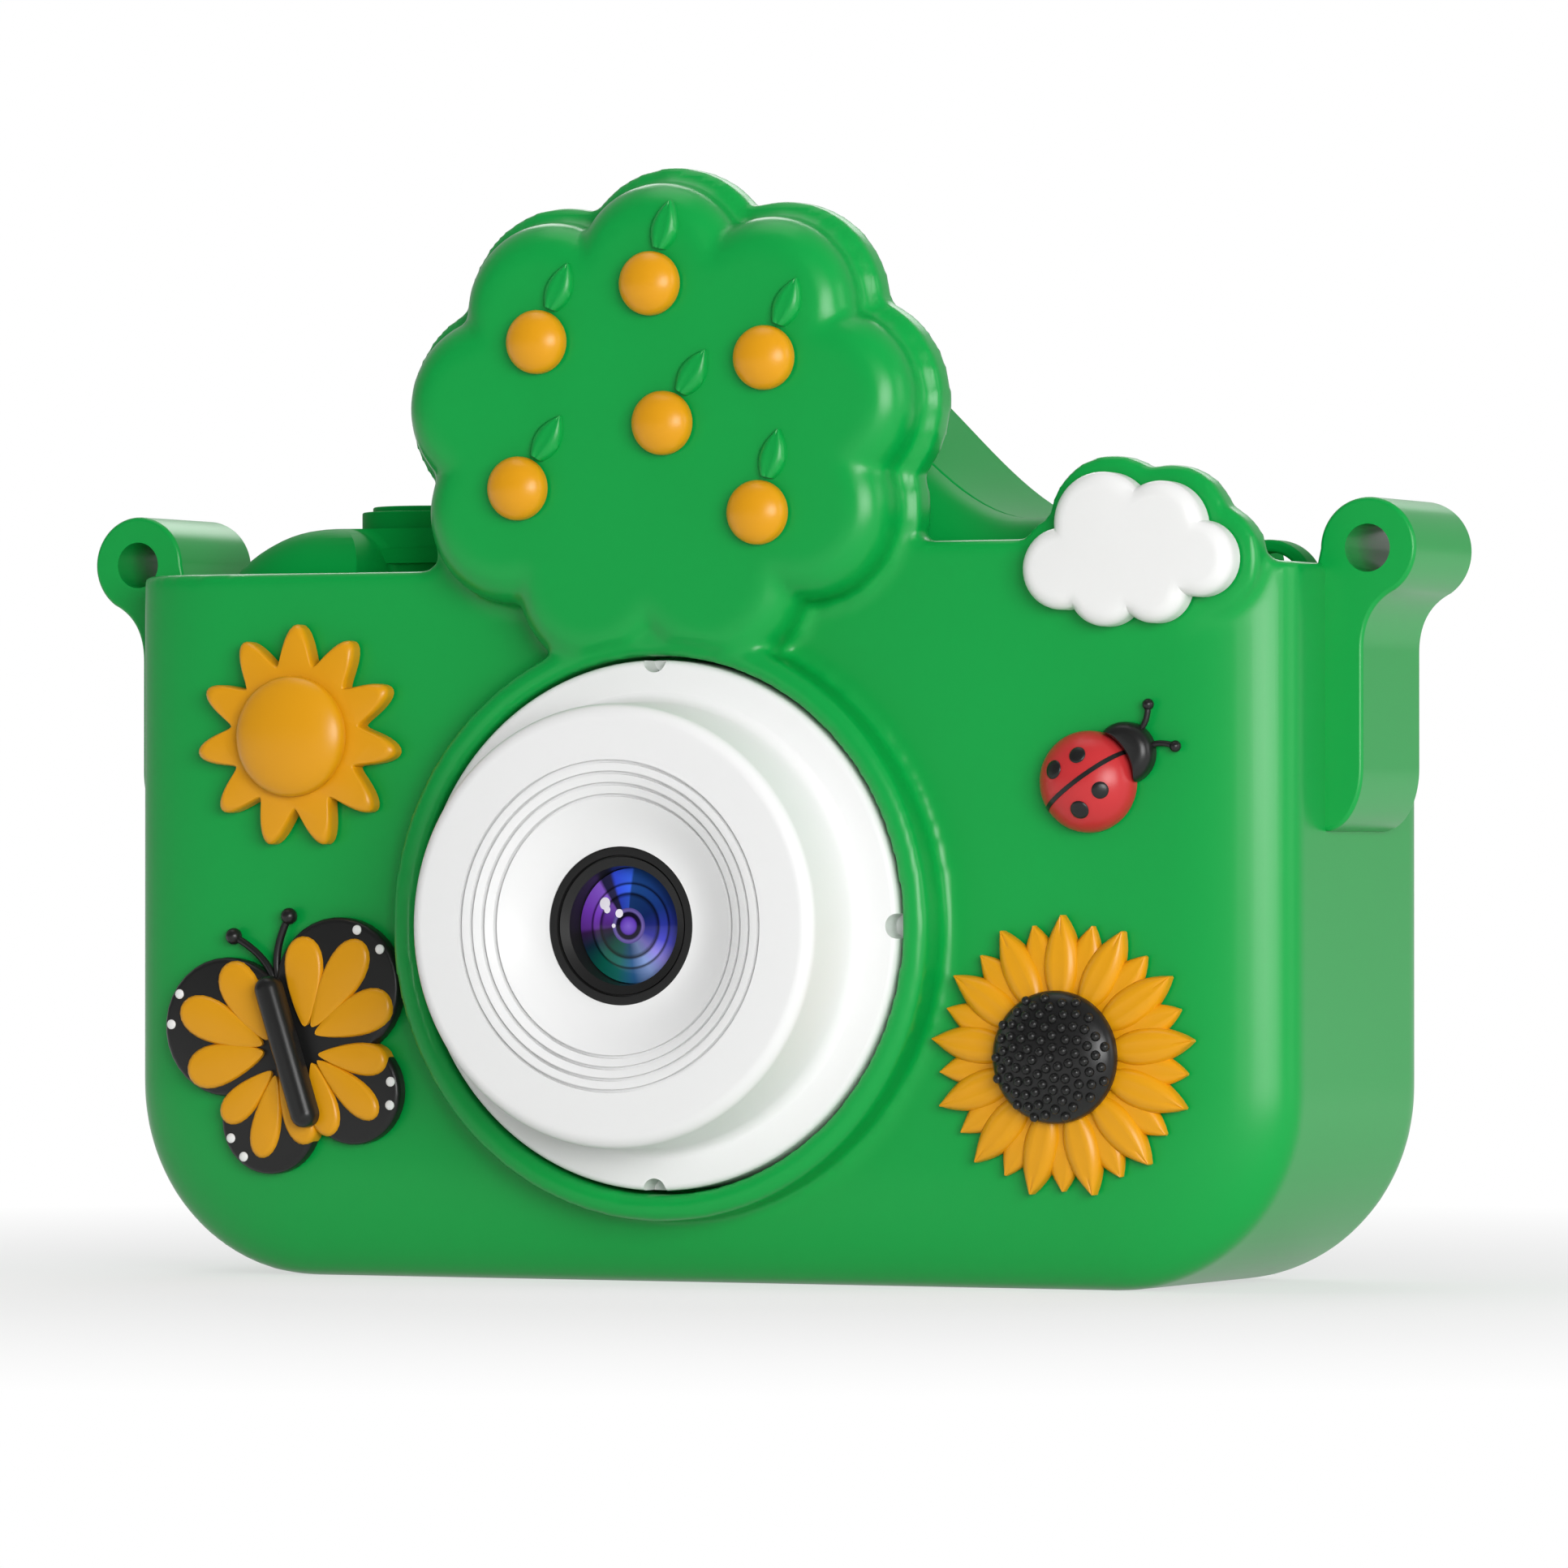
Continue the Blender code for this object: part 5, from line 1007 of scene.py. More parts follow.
class KIDSCAM_OT_rear_housing(Operator):
    """Makes the rear shell of the camera's housing with its panel and strap bar"""
    bl_idname = "kidscam.rear_housing"
    bl_label = "Rear housing"

    def execute(self, context):
        housing, rear = sizes(context, "housing", "rear")
        at = Places(context)
        wall = housing.wall
        start = at.parting + SEAM / 2
        piece = prism("rear_shell", camera_outline(housing, at, 0), start, at.camera_rear)
        round_rims(piece, "Y", PARTING_EDGE, housing.edge)
        top = housing.top - housing.edge - at.gap
        panel = prism("panel", rounded_rectangle(-at.panel_half, at.panel_base, at.panel_half, top,
                                                 PANEL_CORNER),
                      at.camera_rear - OVERLAP, at.panel_rear)
        round_rims(panel, "Y", 0, housing.edge / 2, segments=5)
        combine(panel, "INTERSECT", [prism("reach", camera_outline(housing, at, 0), at.camera_rear - PAST,
                                           at.panel_rear + PAST)])
        room = prism("room", camera_outline(housing, at, wall), start - PAST, at.inner_rear)
        behind = prism("behind", rectangle(-at.panel_half + wall, at.panel_base + wall,
                                           at.panel_half - wall, top - wall),
                       at.inner_rear - OVERLAP, at.panel_inner)
        join(piece, panel)
        cut(piece, room, behind, *self.key_holes(housing, rear, at), *self.screen_holes(rear, at),
            *self.port_holes(rear, at), *self.screw_holes(at))
        join(piece, self.strap_bar(housing, at))
        dress(shade(piece), "green_plastic", "rear_housing")
        return {"FINISHED"}

    def key_holes(self, housing, rear, at):
        """Cutters for the top buttons and the rear keys."""
        top = ((housing.shutter_x, housing.shutter_radius), (housing.power_x, housing.power_radius))
        made = [rod("hole", radius + at.gap, (x, housing.button_y, 0), at.inner_top - OVERLAP,
                    housing.top + PAST, "up") for x, radius in top]
        return made + [rod("hole", radius + at.gap, (x, 0, z), at.panel_inner - OVERLAP,
                           at.panel_rear + PAST, "rear") for _, x, z, radius in rear_keys(rear)]

    def screen_holes(self, rear, at):
        """Cutters for the screen's seat and opening and for the small lens."""
        def window(margin):
            half_u, half_v = rear.window_width / 2 + margin, rear.window_tall / 2 + margin
            u, v = rear.screen_x, rear.screen_height
            return u - half_u, v - half_v, u + half_u, v + half_v

        end = at.panel_rear + PAST
        return (prism("seat", rounded_rectangle(*window(at.gap), PANEL_CORNER),
                      at.panel_rear - rear.window_thickness - at.gap, end),
                prism("opening", rectangle(*window(-WINDOW_LEDGE)), at.inner_rear - PAST, end),
                rod("lens_hole", rear.ring_radius - rear.ring_wall + at.gap, (0, 0, rear.ring_height),
                    at.inner_rear - PAST, at.camera_rear + PAST, "rear"))

    def port_holes(self, rear, at):
        """Cutters for the USB socket and the card in the left wall."""
        through = (-at.camera_half - PAST, -at.inner_half + OVERLAP, "X")
        low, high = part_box("usb_socket")
        usb = stadium((low[1] + high[1]) / 2, rear.port_height, high[1] - low[1] + 2 * at.gap,
                      high[2] - low[2] + 2 * at.gap)
        low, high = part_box("memory_card")
        card = rectangle(low[1] - at.gap, low[2] - at.gap, high[1] + at.gap, high[2] + at.gap)
        return prism("usb_hole", usb, *through), prism("card_hole", card, *through)

    def screw_holes(self, at):
        """Cutters for the recesses of the screws."""
        made = []
        for node in SCREWS:
            low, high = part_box(node)
            middle = ((low[0] + high[0]) / 2, 0, (low[2] + high[2]) / 2)
            made.append(rod("recess", (high[0] - low[0]) / 2 + at.gap, middle, at.inner_rear - OVERLAP,
                            at.camera_rear + PAST, "rear"))
        return made

    def strap_bar(self, housing, at):
        """The thin arch over the step at the top right corner."""
        x = at.camera_half - STRAP_INSET
        z = housing.top - STRAP_DROP - STRAP_RADIUS
        foot = housing.top - housing.notch_drop - housing.wall / 2
        turn = math.degrees(math.asin((z - foot) / STRAP_RADIUS))
        section = rounded_rectangle(STRAP_RADIUS - STRAP_BAR, housing.button_y, STRAP_RADIUS,
                                    housing.button_y + STRAP_DEPTH, STRAP_EDGE)
        return lofted("bar", [[(x + out * u, y, z + out * v) for out, y in section]
                              for u, v in arc(0, 0, 1, -turn, 180 + turn, STRAP_STEPS)])


RING_NOTCHES = 4


class KIDSCAM_OT_lens_ring(Operator):
    """Turns the white base ring of the lens and cuts its notches"""
    bl_idname = "kidscam.lens_ring"
    bl_label = "Lens base ring"

    def execute(self, context):
        lens = context.scene.kidscam_lens
        at = Places(context)
        top, seat = -at.ring_front, -at.camera_front + at.gap
        inner = at.barrel_radius - OVERLAP / 2
        profile = rounded_step(lens.ring_radius, top, lens.ring_width / 4)
        profile += [(lens.ring_radius, seat), (inner, seat), (inner, top)]
        piece = turned("lens_ring", profile, (lens.x, 0, lens.height))
        for u, v in arc(lens.x, lens.height, lens.ring_radius, 0, 360, RING_NOTCHES)[:-1]:
            cut(piece, rod("notch", lens.ring_notch, (u, 0, v), top - lens.ring_width, top + PAST,
                           steps=NOTCH_STEPS))
        dress(shade(piece), "white_plastic", "lens_base_ring")
        return {"FINISHED"}


# The barrel: how much it narrows in all and above its foot, its front edge, and its foot's height
BARREL_TAPER, BARREL_DRAFT, BARREL_RIM, FLARE = 0.0009, 0.00015, 0.0010, 0.0013
# Its grooves: number, radius of the outermost, distance, width, depth and share of the width that is floor
GROOVES, GROOVE_OUTER, GROOVE_STEP = 4, 0.0117, 0.0008
GROOVE_WIDTH, GROOVE_DEPTH, GROOVE_FLOOR = 0.00024, 0.00045, 0.7
# Points of the dish before the first groove and between grooves
DISH_STEPS, BETWEEN_STEPS = 18, 3


class KIDSCAM_OT_lens_barrel(Operator):
    """Turns the white lens barrel with its dished front and fine grooves"""
    bl_idname = "kidscam.lens_barrel"
    bl_label = "Lens barrel"

    def execute(self, context):
        lens = context.scene.kidscam_lens
        at = Places(context)
        front, seat = -at.barrel_front, -at.camera_front + at.gap
        rim = at.barrel_radius - BARREL_TAPER
        bore = lens.bezel_radius + at.gap
        inside = rim - lens.barrel_wall
        back = -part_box("lens_holder")[0][1] + at.gap + OVERLAP
        profile = rounded_step(rim, front, BARREL_RIM, steps=14)
        foot = at.barrel_radius - rim - BARREL_DRAFT
        profile += [(at.barrel_radius - foot * c, -at.ring_front + FLARE * (1 - s))
                    for c, s in arc(0, 0, 1, 0, 90, RIM_STEPS)]
        lip = lens.bezel_radius - at.gap / 2
        profile += [(at.barrel_radius, seat), (inside, seat), (inside, back), (bore, back),
                    (bore, -at.bezel_front - OVERLAP), (lip, -at.bezel_front - OVERLAP)]
        profile += self.dish(lip, -at.bezel_front + at.gap / 6, front)
        piece = turned("barrel", profile, (lens.x, 0, lens.height))
        dress(shade(piece, TURNED_EDGE), "white_plastic", "lens_barrel")
        return {"FINISHED"}

    def dish(self, lip, low, front):
        """The dished front from the bezel outwards, with its grooves cut straight in."""
        def level(radius):
            t = max(0.0, (GROOVE_OUTER - radius) / (GROOVE_OUTER - lip))
            return front + (low - front) * t * t * (3 - 2 * t)

        points, start = [], lip
        half = GROOVE_WIDTH / 2
        floor = half * GROOVE_FLOOR
        for i in reversed(range(GROOVES)):
            middle = GROOVE_OUTER - i * GROOVE_STEP
            steps = DISH_STEPS if start == lip else BETWEEN_STEPS
            for j in range(steps):
                radius = start + (middle - half - start) * j / steps
                points.append((radius, level(radius)))
            points += [(middle - half, level(middle - half)), (middle - floor, level(middle) - GROOVE_DEPTH),
                       (middle + floor, level(middle) - GROOVE_DEPTH), (middle + half, level(middle + half))]
            start = middle + half
        return points


# The bezel's front from its bore outwards: the line that a point follows, its distance from that
# line, and its depth
BEZEL_FACE = (("bore", 0.0, 0.0009), ("bore", 0.00008, 0.0004), ("middle", -0.0001, 0.00015),
              ("middle", -0.00006, 0.0004), ("middle", 0.00002, 0.0004), ("middle", 0.00006, 0.0))
BEZEL_EDGE = 0.0003


class KIDSCAM_OT_lens_bezel(Operator):
    """Turns the stepped black bezel of the lens"""
    bl_idname = "kidscam.lens_bezel"
    bl_label = "Lens bezel"

    def execute(self, context):
        lens = context.scene.kidscam_lens
        at = Places(context)
        front, rear = -at.bezel_front, -at.bezel_rear
        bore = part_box("front_lens")[1][0] - lens.x + at.gap / 4
        lines = {"bore": bore, "middle": (lens.bezel_radius + bore) / 2}
        profile = rounded_step(lens.bezel_radius, front, BEZEL_EDGE)
        profile += [(lens.bezel_radius, rear), (bore, rear)]
        profile += [(lines[line] + out, front - depth) for line, out, depth in BEZEL_FACE]
        piece = turned("bezel", profile, (lens.x, 0, lens.height))
        dress(shade(piece, TURNED_EDGE), "black_plastic", "lens_bezel")
        return {"FINISHED"}


class KIDSCAM_OT_lens_glass(Operator):
    """Makes the coated front lens and the element behind it"""
    bl_idname = "kidscam.lens_glass"
    bl_label = "Lens glass"

    def execute(self, context):
        lens = context.scene.kidscam_lens
        for name, node, crown in (("front_glass", "front_lens", lens.glass_crown),
                                  ("second_glass", "second_lens", lens.glass_crown / 2)):
            low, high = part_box(node)
            radius, top, bottom = (high[0] - low[0]) / 2, -low[1], -high[1]
            shares = [i / GLASS_STEPS for i in range(GLASS_STEPS + 1)]
            profile = [(radius * share, top - crown * share ** 2) for share in shares]
            piece = turned(name, profile + [(radius, bottom), (0, bottom)], (lens.x, 0, lens.height))
            dress(shade(piece), "coated_glass", node)
        return {"FINISHED"}


# Keys: radius of the edge, flange, share of the top that is flat and the rings of points on it
KEY_EDGE, FLANGE, KEY_FLAT, KEY_RINGS = 0.0004, 0.0006, 0.8, 6
# The shutter button's step: width, height and edges
SHUTTER_STEP, SHUTTER_DROP, SHUTTER_EDGE = 0.0008, 0.0004, 0.00015


def key_foot(radius, under):
    """A key's side below its edge, and the flange behind the wall."""
    wide, low = radius + FLANGE, under - FLANGE
    return [(radius, under), (wide, under), (wide, low), (0, low)]


def key_profile(radius, proud, under):
    """A key cap with a rounded edge above the wall at height 0 and a flange behind the wall."""
    top = [(radius * KEY_FLAT * i / KEY_RINGS, proud) for i in range(KEY_RINGS)]
    return top + rounded_step(radius, proud, KEY_EDGE, steps=6) + key_foot(radius, under)


class KIDSCAM_OT_top_buttons(Operator):
    """Turns the stepped shutter button and the power button"""
    bl_idname = "kidscam.top_buttons"
    bl_label = "Top buttons"

    def execute(self, context):
        housing = context.scene.kidscam_housing
        under = -housing.wall - Places(context).gap
        radius, proud = housing.shutter_radius, housing.shutter_proud
        inner, step = radius - SHUTTER_STEP, proud - SHUTTER_DROP
        shutter = [(0, proud)] + rounded_step(inner, proud, SHUTTER_EDGE, steps=4) + [(inner, step)]
        shutter += rounded_step(radius, step, SHUTTER_EDGE, steps=4) + key_foot(radius, under)
        power = key_profile(housing.power_radius, housing.power_proud, under)
        for name, profile, x in (("shutter", shutter, housing.shutter_x), ("power", power, housing.power_x)):
            piece = turned(name, profile, (x, housing.button_y, housing.top), "up", BUTTON_STEPS)
            dress(shade(piece), "green_plastic", f"{name}_button", body=f"{name}_button")
        return {"FINISHED"}


# Signs on the rear keys: size as a share of the key, height, the way each arrow points in degrees, and
# their proportions in sign sizes
SIGN_SHARE, SIGN_RISE = 0.42, 0.00012
ARROWS = {"up_button": 90, "down_button": -90, "left_button": 0, "right_button": 180, "playback_button": 180}
ARROW_TAIL, ARROW_HALF = 0.6, 0.8
BAR_STEP, BAR_REACH, BAR_HALF = 0.7, 0.9, 0.16
RING_SHARE = 0.8
RING_END, RING_POINTS = 345, 23


def key_sign(node, u, v, size):
    """Outlines of the plain sign on a rear key."""
    if node in ARROWS:
        tail, half = -size * ARROW_TAIL, size * ARROW_HALF
        return [turned_by([(size, 0), (tail, half), (tail, -half)], u, v, ARROWS[node])]
    if node == "mode_button":
        reach, half = size * BAR_REACH, size * BAR_HALF
        middles = [v + size * BAR_STEP * place for place in (1, 0, -1)]
        return [rectangle(u - reach, middle - half, u + reach, middle + half) for middle in middles]
    return [arc(u, v, size * RING_SHARE, 0, RING_END, RING_POINTS)]


class KIDSCAM_OT_rear_buttons(Operator):
    """Turns the seven rear keys and puts a plain sign on each"""
    bl_idname = "kidscam.rear_buttons"
    bl_label = "Rear keys"

    def execute(self, context):
        rear, housing = sizes(context, "rear", "housing")
        at = Places(context)
        top = at.panel_rear + rear.key_proud
        for node, x, z, radius in rear_keys(rear):
            profile = key_profile(radius, rear.key_proud - SIGN_RISE, -housing.wall - at.gap)
            piece = turned(node.replace("button", "key"), profile, (x, at.panel_rear, z), "rear",
                           BUTTON_STEPS)
            dress(shade(piece), "white_plastic", node, body=node)
            work = bmesh.new()
            for outline in key_sign(node, x, z, radius * SIGN_SHARE):
                add_prism(work, outline, top - 4 * SIGN_RISE, top, "Y")
            sign = shade(new_object(node.replace("button", "sign"), work))
            dress(sign, "grey_print", body=node, slot="black_plastic")
        return {"FINISHED"}


# The window's corners and outer edge
WINDOW_CORNER, WINDOW_EDGE = 0.0010, 0.0002


class KIDSCAM_OT_screen(Operator):
    """Makes the screen's dark window"""
    bl_idname = "kidscam.screen"
    bl_label = "Screen window"

    def execute(self, context):
        low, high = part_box("display_window")
        outline = rounded_rectangle(low[0], low[2], high[0], high[2], WINDOW_CORNER)
        piece = prism("screen_window", outline, low[1], high[1])
        round_rims(piece, "Y", 0, WINDOW_EDGE, segments=3)
        dress(shade(piece), "window_glass", "display_window")
        return {"FINISHED"}


# The small lens: share of its ring that is straight inside, and of its window that is upright edge
RING_STRAIGHT = 0.75
WINDOW_UPRIGHT = 0.4


class KIDSCAM_OT_rear_lens(Operator):
    """Turns the small lens in the hump: its ring and its window"""
    bl_idname = "kidscam.rear_lens"
    bl_label = "Small rear lens"

    def execute(self, context):
        rear = context.scene.kidscam_rear
        at = Places(context)
        bore, rise = rear.ring_radius - rear.ring_wall, rear.ring_rise
        profile = rounded_step(rear.ring_radius, rise, rear.ring_wall / 4)
        profile += [(rear.ring_radius, 0), (bore, 0), (bore, rise * RING_STRAIGHT),
                    (bore + rear.ring_wall / 3, rise)]
        ring = turned("small_lens_ring", profile, (0, at.camera_rear + at.gap, rear.ring_height), "rear",
                      BUTTON_STEPS)
        dress(shade(ring), "black_plastic", "rear_lens_ring")
        low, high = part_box("rear_lens_window")
        radius, rise = (high[0] - low[0]) / 2, high[1] - low[1]
        profile = dome_profile(radius, rise * WINDOW_UPRIGHT, rise * (1 - WINDOW_UPRIGHT))
        window = turned("small_lens_glass", profile, (0, low[1], rear.ring_height), "rear", BUTTON_STEPS)
        dress(shade(window), "small_coated_glass", "rear_lens_window", slot="coated_glass")
        return {"FINISHED"}


# The socket's shell, inner end and half its tongue, and the memory card's corners and edges
USB_SHELL, USB_FLOOR, USB_TONGUE = 0.0004, 0.0008, 0.00035
CARD_CORNER, CARD_EDGE = 0.0008, 0.00012

# Contacts of the memory card: number, distances of their ends from the card's end, half their width,
# height above the card and depth in it
CONTACTS = 8
CONTACT_FAR, CONTACT_NEAR = 0.0036, 0.0009
CONTACT_HALF, CONTACT_RISE, CONTACT_SINK = 0.0004, 0.00004, 0.0001


class KIDSCAM_OT_ports(Operator):
    """Makes the USB socket and the memory card"""
    bl_idname = "kidscam.ports"
    bl_label = "Ports"

    def execute(self, context):
        self.usb()
        self.card()
        return {"FINISHED"}

    def usb(self):
        low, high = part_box("usb_socket")
        shell, tongue = USB_SHELL, USB_TONGUE
        middle, z = (low[1] + high[1]) / 2, (low[2] + high[2]) / 2
        wide, tall = high[1] - low[1], high[2] - low[2]
        piece = prism("usb_shell", stadium(middle, z, wide, tall), low[0], high[0], "X")
        cut(piece, prism("room", stadium(middle, z, wide - 2 * shell, tall - 2 * shell), low[0] - PAST,
                         high[0] - USB_FLOOR, "X"))
        across = tall / 2 - 3 * shell
        join(piece, block("tongue", (low[0] + shell, middle - tongue, z - across),
                          (high[0] - shell, middle + tongue, z + across)))
        dress(shade(piece), "steel", "usb_socket")

    def card(self):
        low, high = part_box("memory_card")
        corner = CARD_CORNER
        left, right = low[0] + corner, high[0] - corner
        outline = [(left, low[2]), (right - corner, low[2]), (high[0], low[2] + 2 * corner),
                   (high[0], high[2] - corner), (right, high[2]), (left, high[2])]
        outline += arc(left, high[2] - corner, corner, 90, 180, 8)[1:]
        outline += arc(left, low[2] + corner, corner, 180, 270, 8)[:-1]
        piece = prism("card", outline, low[1], high[1])
        round_rims(piece, "Y", CARD_EDGE, CARD_EDGE, segments=2)
        dress(shade(piece), "black_plastic", "memory_card", body="memory_card")
        work = bmesh.new()
        for i in range(CONTACTS):
            v = low[2] + (high[2] - low[2]) * (i + 1) / (CONTACTS + 1)
            add_prism(work, rectangle(high[0] - CONTACT_FAR, v - CONTACT_HALF, high[0] - CONTACT_NEAR,
                                      v + CONTACT_HALF), low[1] - CONTACT_RISE, low[1] + CONTACT_SINK, "Y")
        dress(new_object("card_contacts", work), "gold_contact", body="memory_card", slot="steel")


# A petal or leaf: points along and across it, where its outline starts, how that is skewed and filled,
# its least width, the height of its edge, its crease, the crease's sharpness and its tip's droop
PETAL_STEPS, PETAL_ACROSS = 12, 8
PETAL_START, PETAL_SKEW, PETAL_FILL, PETAL_LEAST = 0.10, 0.9, 0.75, 0.02
PETAL_EDGE, PETAL_CREASE, CREASE_SHARPNESS, PETAL_DROOP = 0.55, 0.10, 5, 0.35


def petal_height(side, t):
    """Share of a petal's thickness at a place across it, from -1 to 1, and along it."""
    crown = PETAL_EDGE + (1 - PETAL_EDGE) * math.sqrt(max(0.0, 1 - side * side))
    crease = 1 - PETAL_CREASE * math.exp(-(side * CREASE_SHARPNESS) ** 2)
    return crown * crease * (1 - PETAL_DROOP * t ** 3)


def add_petal(work, u, v, back, angle, inner, outer, thickness, half_width):
    """Adds one crowned petal with a crease along its middle."""
    sides = [-1 + 2 * j / PETAL_ACROSS for j in range(PETAL_ACROSS + 1)]
    rings = []
    for i in range(PETAL_STEPS + 1):
        t = i / PETAL_STEPS
        full = math.sin(math.pi * (PETAL_START + (1 - PETAL_START) * t) ** PETAL_SKEW)
        width = half_width * max(PETAL_LEAST, full) ** PETAL_FILL
        heights = [thickness * petal_height(side, t) for side in sides] + [0, 0]
        line = [(inner + (outer - inner) * t, side * width) for side in sides + [1, -1]]
        places = turned_by(line, u, v, angle)
        rings.append([(p, back - height, q) for (p, q), height in zip(places, heights)])
    add_loft(work, rings)


# Fruit on the tree crown (across, up), and their leaves' turns in degrees, half width as a share
# and height
FRUIT_PLACES = ((-0.0100, -0.0040), (-0.0085, 0.0065), (0.0005, 0.0105),
                (0.0015, 0.0005), (0.0095, 0.0050), (0.0090, -0.0060))
LEAF_TURNS = (58, 67, 76)
LEAF_SHARE = 0.27
LEAF_RISE = 0.0010


class KIDSCAM_OT_fruit(Operator):
    """Puts the amber fruit on the tree crown"""
    bl_idname = "kidscam.fruit"
    bl_label = "Fruit"

    def execute(self, context):
        crown = context.scene.kidscam_crown
        at = Places(context)
        profile = dome_profile(crown.fruit_radius, at.gap, crown.fruit_rise)
        for i, (u, v) in enumerate(FRUIT_PLACES):
            centre = (crown.x + u, at.crown_front - at.gap, crown.height + v)
            piece = turned(f"amber_fruit_{i + 1}", profile, centre, steps=FRUIT_STEPS)
            dress(shade(piece, DOME_EDGE), "amber_silicone", f"fruit_{i + 1}")
        work = bmesh.new()
        for i, (u, v) in enumerate(FRUIT_PLACES):
            add_petal(work, crown.x + u, crown.height + v, at.crown_front + OVERLAP / 2,
                      LEAF_TURNS[i % len(LEAF_TURNS)], crown.fruit_radius + at.gap,
                      crown.fruit_radius + crown.leaf, LEAF_RISE, crown.leaf * LEAF_SHARE)
        dress(shade(new_object("leaves", work), LEAF_EDGE), "green_silicone")
        return {"FINISHED"}


def flat_inlay(name, outline, back, thickness, edge):
    """A flat inlay with softly rounded front edges, lying on the plane y = back."""
    piece = prism(name, outline, back - thickness, back)
    round_rims(piece, "Y", edge, 0, segments=6)
    return shade(piece, INLAY_EDGE)


CLOUD_EDGE = 0.0011


class KIDSCAM_OT_cloud(Operator):
    """Puts the white cloud on its plate"""
    bl_idname = "kidscam.cloud"
    bl_label = "Cloud"

    def execute(self, context):
        inlays = context.scene.kidscam_inlays
        piece = flat_inlay("white_cloud", lobed(cloud_lobes(inlays, 0)), Places(context).inlay_back,
                           inlays.cloud_thickness, CLOUD_EDGE)
        dress(piece, "white_silicone", "cloud")
        return {"FINISHED"}


# The sun's rays: their sharpness, and how far valleys and tips draw in for the rounding of the
# edge. The disc's rise
RAY_SHARPNESS = 1.6
VALLEY_INSET, TIP_INSET = 0.5, 1.4
SUN_RISE = 0.0014


class KIDSCAM_OT_sun(Operator):
    """Puts the sun on the front: rays and a crowned disc"""
    bl_idname = "kidscam.sun"
    bl_label = "Sun"

    def execute(self, context):
        inlays = context.scene.kidscam_inlays
        at = Places(context)
        rings = []
        for inset, height in rounded_inset(inlays.thickness, inlays.edge):
            outline = star(inlays.ray_inner - inset * VALLEY_INSET, inlays.ray_outer - inset * TIP_INSET,
                           inlays.ray_count, RAY_SHARPNESS)
            rings.append([(inlays.sun_x + u, at.inlay_back - height, inlays.sun_height + v)
                          for u, v in outline])
        dress(shade(lofted("rays", rings), INLAY_EDGE), "amber_silicone", "sun_rays")
        disc = turned("disc", dome_profile(inlays.sun_radius, at.gap, SUN_RISE),
                      (inlays.sun_x, at.inlay_front - at.gap, inlays.sun_height), steps=BUTTON_STEPS)
        dress(shade(disc, DOME_EDGE), "amber_silicone", "sun_disc")
        return {"FINISHED"}


# Feelers: reach, half the gap at their root, bend, height over the back, radius, knob, points
BUG_FEELERS = (0.0016, 0.0007, 0.0011, 0.0004, 0.00022, 0.00042, 10)
WING_FEELERS = (0.0042, 0.0002, 0.0022, 0.00045, 0.00028, 0.00062, 14)


def add_feelers(work, feelers, root, u, v, back, degrees):
    """Adds a pair of thin bent feelers with knobs, which leave a root ahead of (u, v)."""
    reach, gap, bend, height, radius, knob, steps = feelers
    y = back - height
    for side in (-1, 1):
        shares = [i / steps for i in range(steps + 1)]
        line = [(root + reach * t, side * (gap + bend * t * t)) for t in shares]
        path = turned_by(line, u, v, degrees)
        rings = []
        for i, (p, q) in enumerate(path):
            before, after = path[max(i - 1, 0)], path[min(i + 1, steps)]
            along = Vector((after[0] - before[0], after[1] - before[1])).normalized()
            rings.append([(p - along.y * a, y + b, q + along.x * a)
                          for a, b in arc(0, 0, radius, 0, 360, FEELER_SIDES)[:-1]])
        add_loft(work, rings)
        bmesh.ops.create_uvsphere(work, u_segments=16, v_segments=10, radius=knob,
                                  matrix=Matrix.Translation((path[-1][0], y, path[-1][1])))


def crescent(radius, away, bite):
    """A disc at a distance along u, less the part inside a disc about the origin."""
    begin = 180 - math.degrees(math.acos((away ** 2 + radius ** 2 - bite ** 2) / (2 * away * radius)))
    end = math.degrees(math.acos((away ** 2 + bite ** 2 - radius ** 2) / (2 * away * bite)))
    return arc(away, 0, radius, -begin, begin, 32) + arc(0, 0, bite, end, -end, 16)[1:-1]


def dome_height(distance, radius, edge, rise):
    """Height of a crowned disc at a distance from its middle."""
    return edge + rise * math.sqrt(max(0.0, 1 - (distance / radius) ** 2))


# The ladybird: heading in degrees, spots (along, aside, size) in shell radii and how flat they are,
# the head's edge, its inset at the neck and the feelers' root in head radii
BUG_HEADING = 35
BUG_SPOTS = ((0.30, 0.42, 0.17), (0.30, -0.42, 0.17), (-0.28, 0.48, 0.19), (-0.28, -0.48, 0.19))
SPOT_FLATNESS = 0.25
BUG_EDGE = 0.0009
NECK_INSET = 0.4
FEELER_ROOT = 0.8
# The line between its wings: end in degrees, points, half width, height over the shell and depth in it
LINE_END, LINE_STEPS = 86, 24
LINE_HALF, LINE_RISE, LINE_SINK = 0.00016, 0.00010, 0.00025


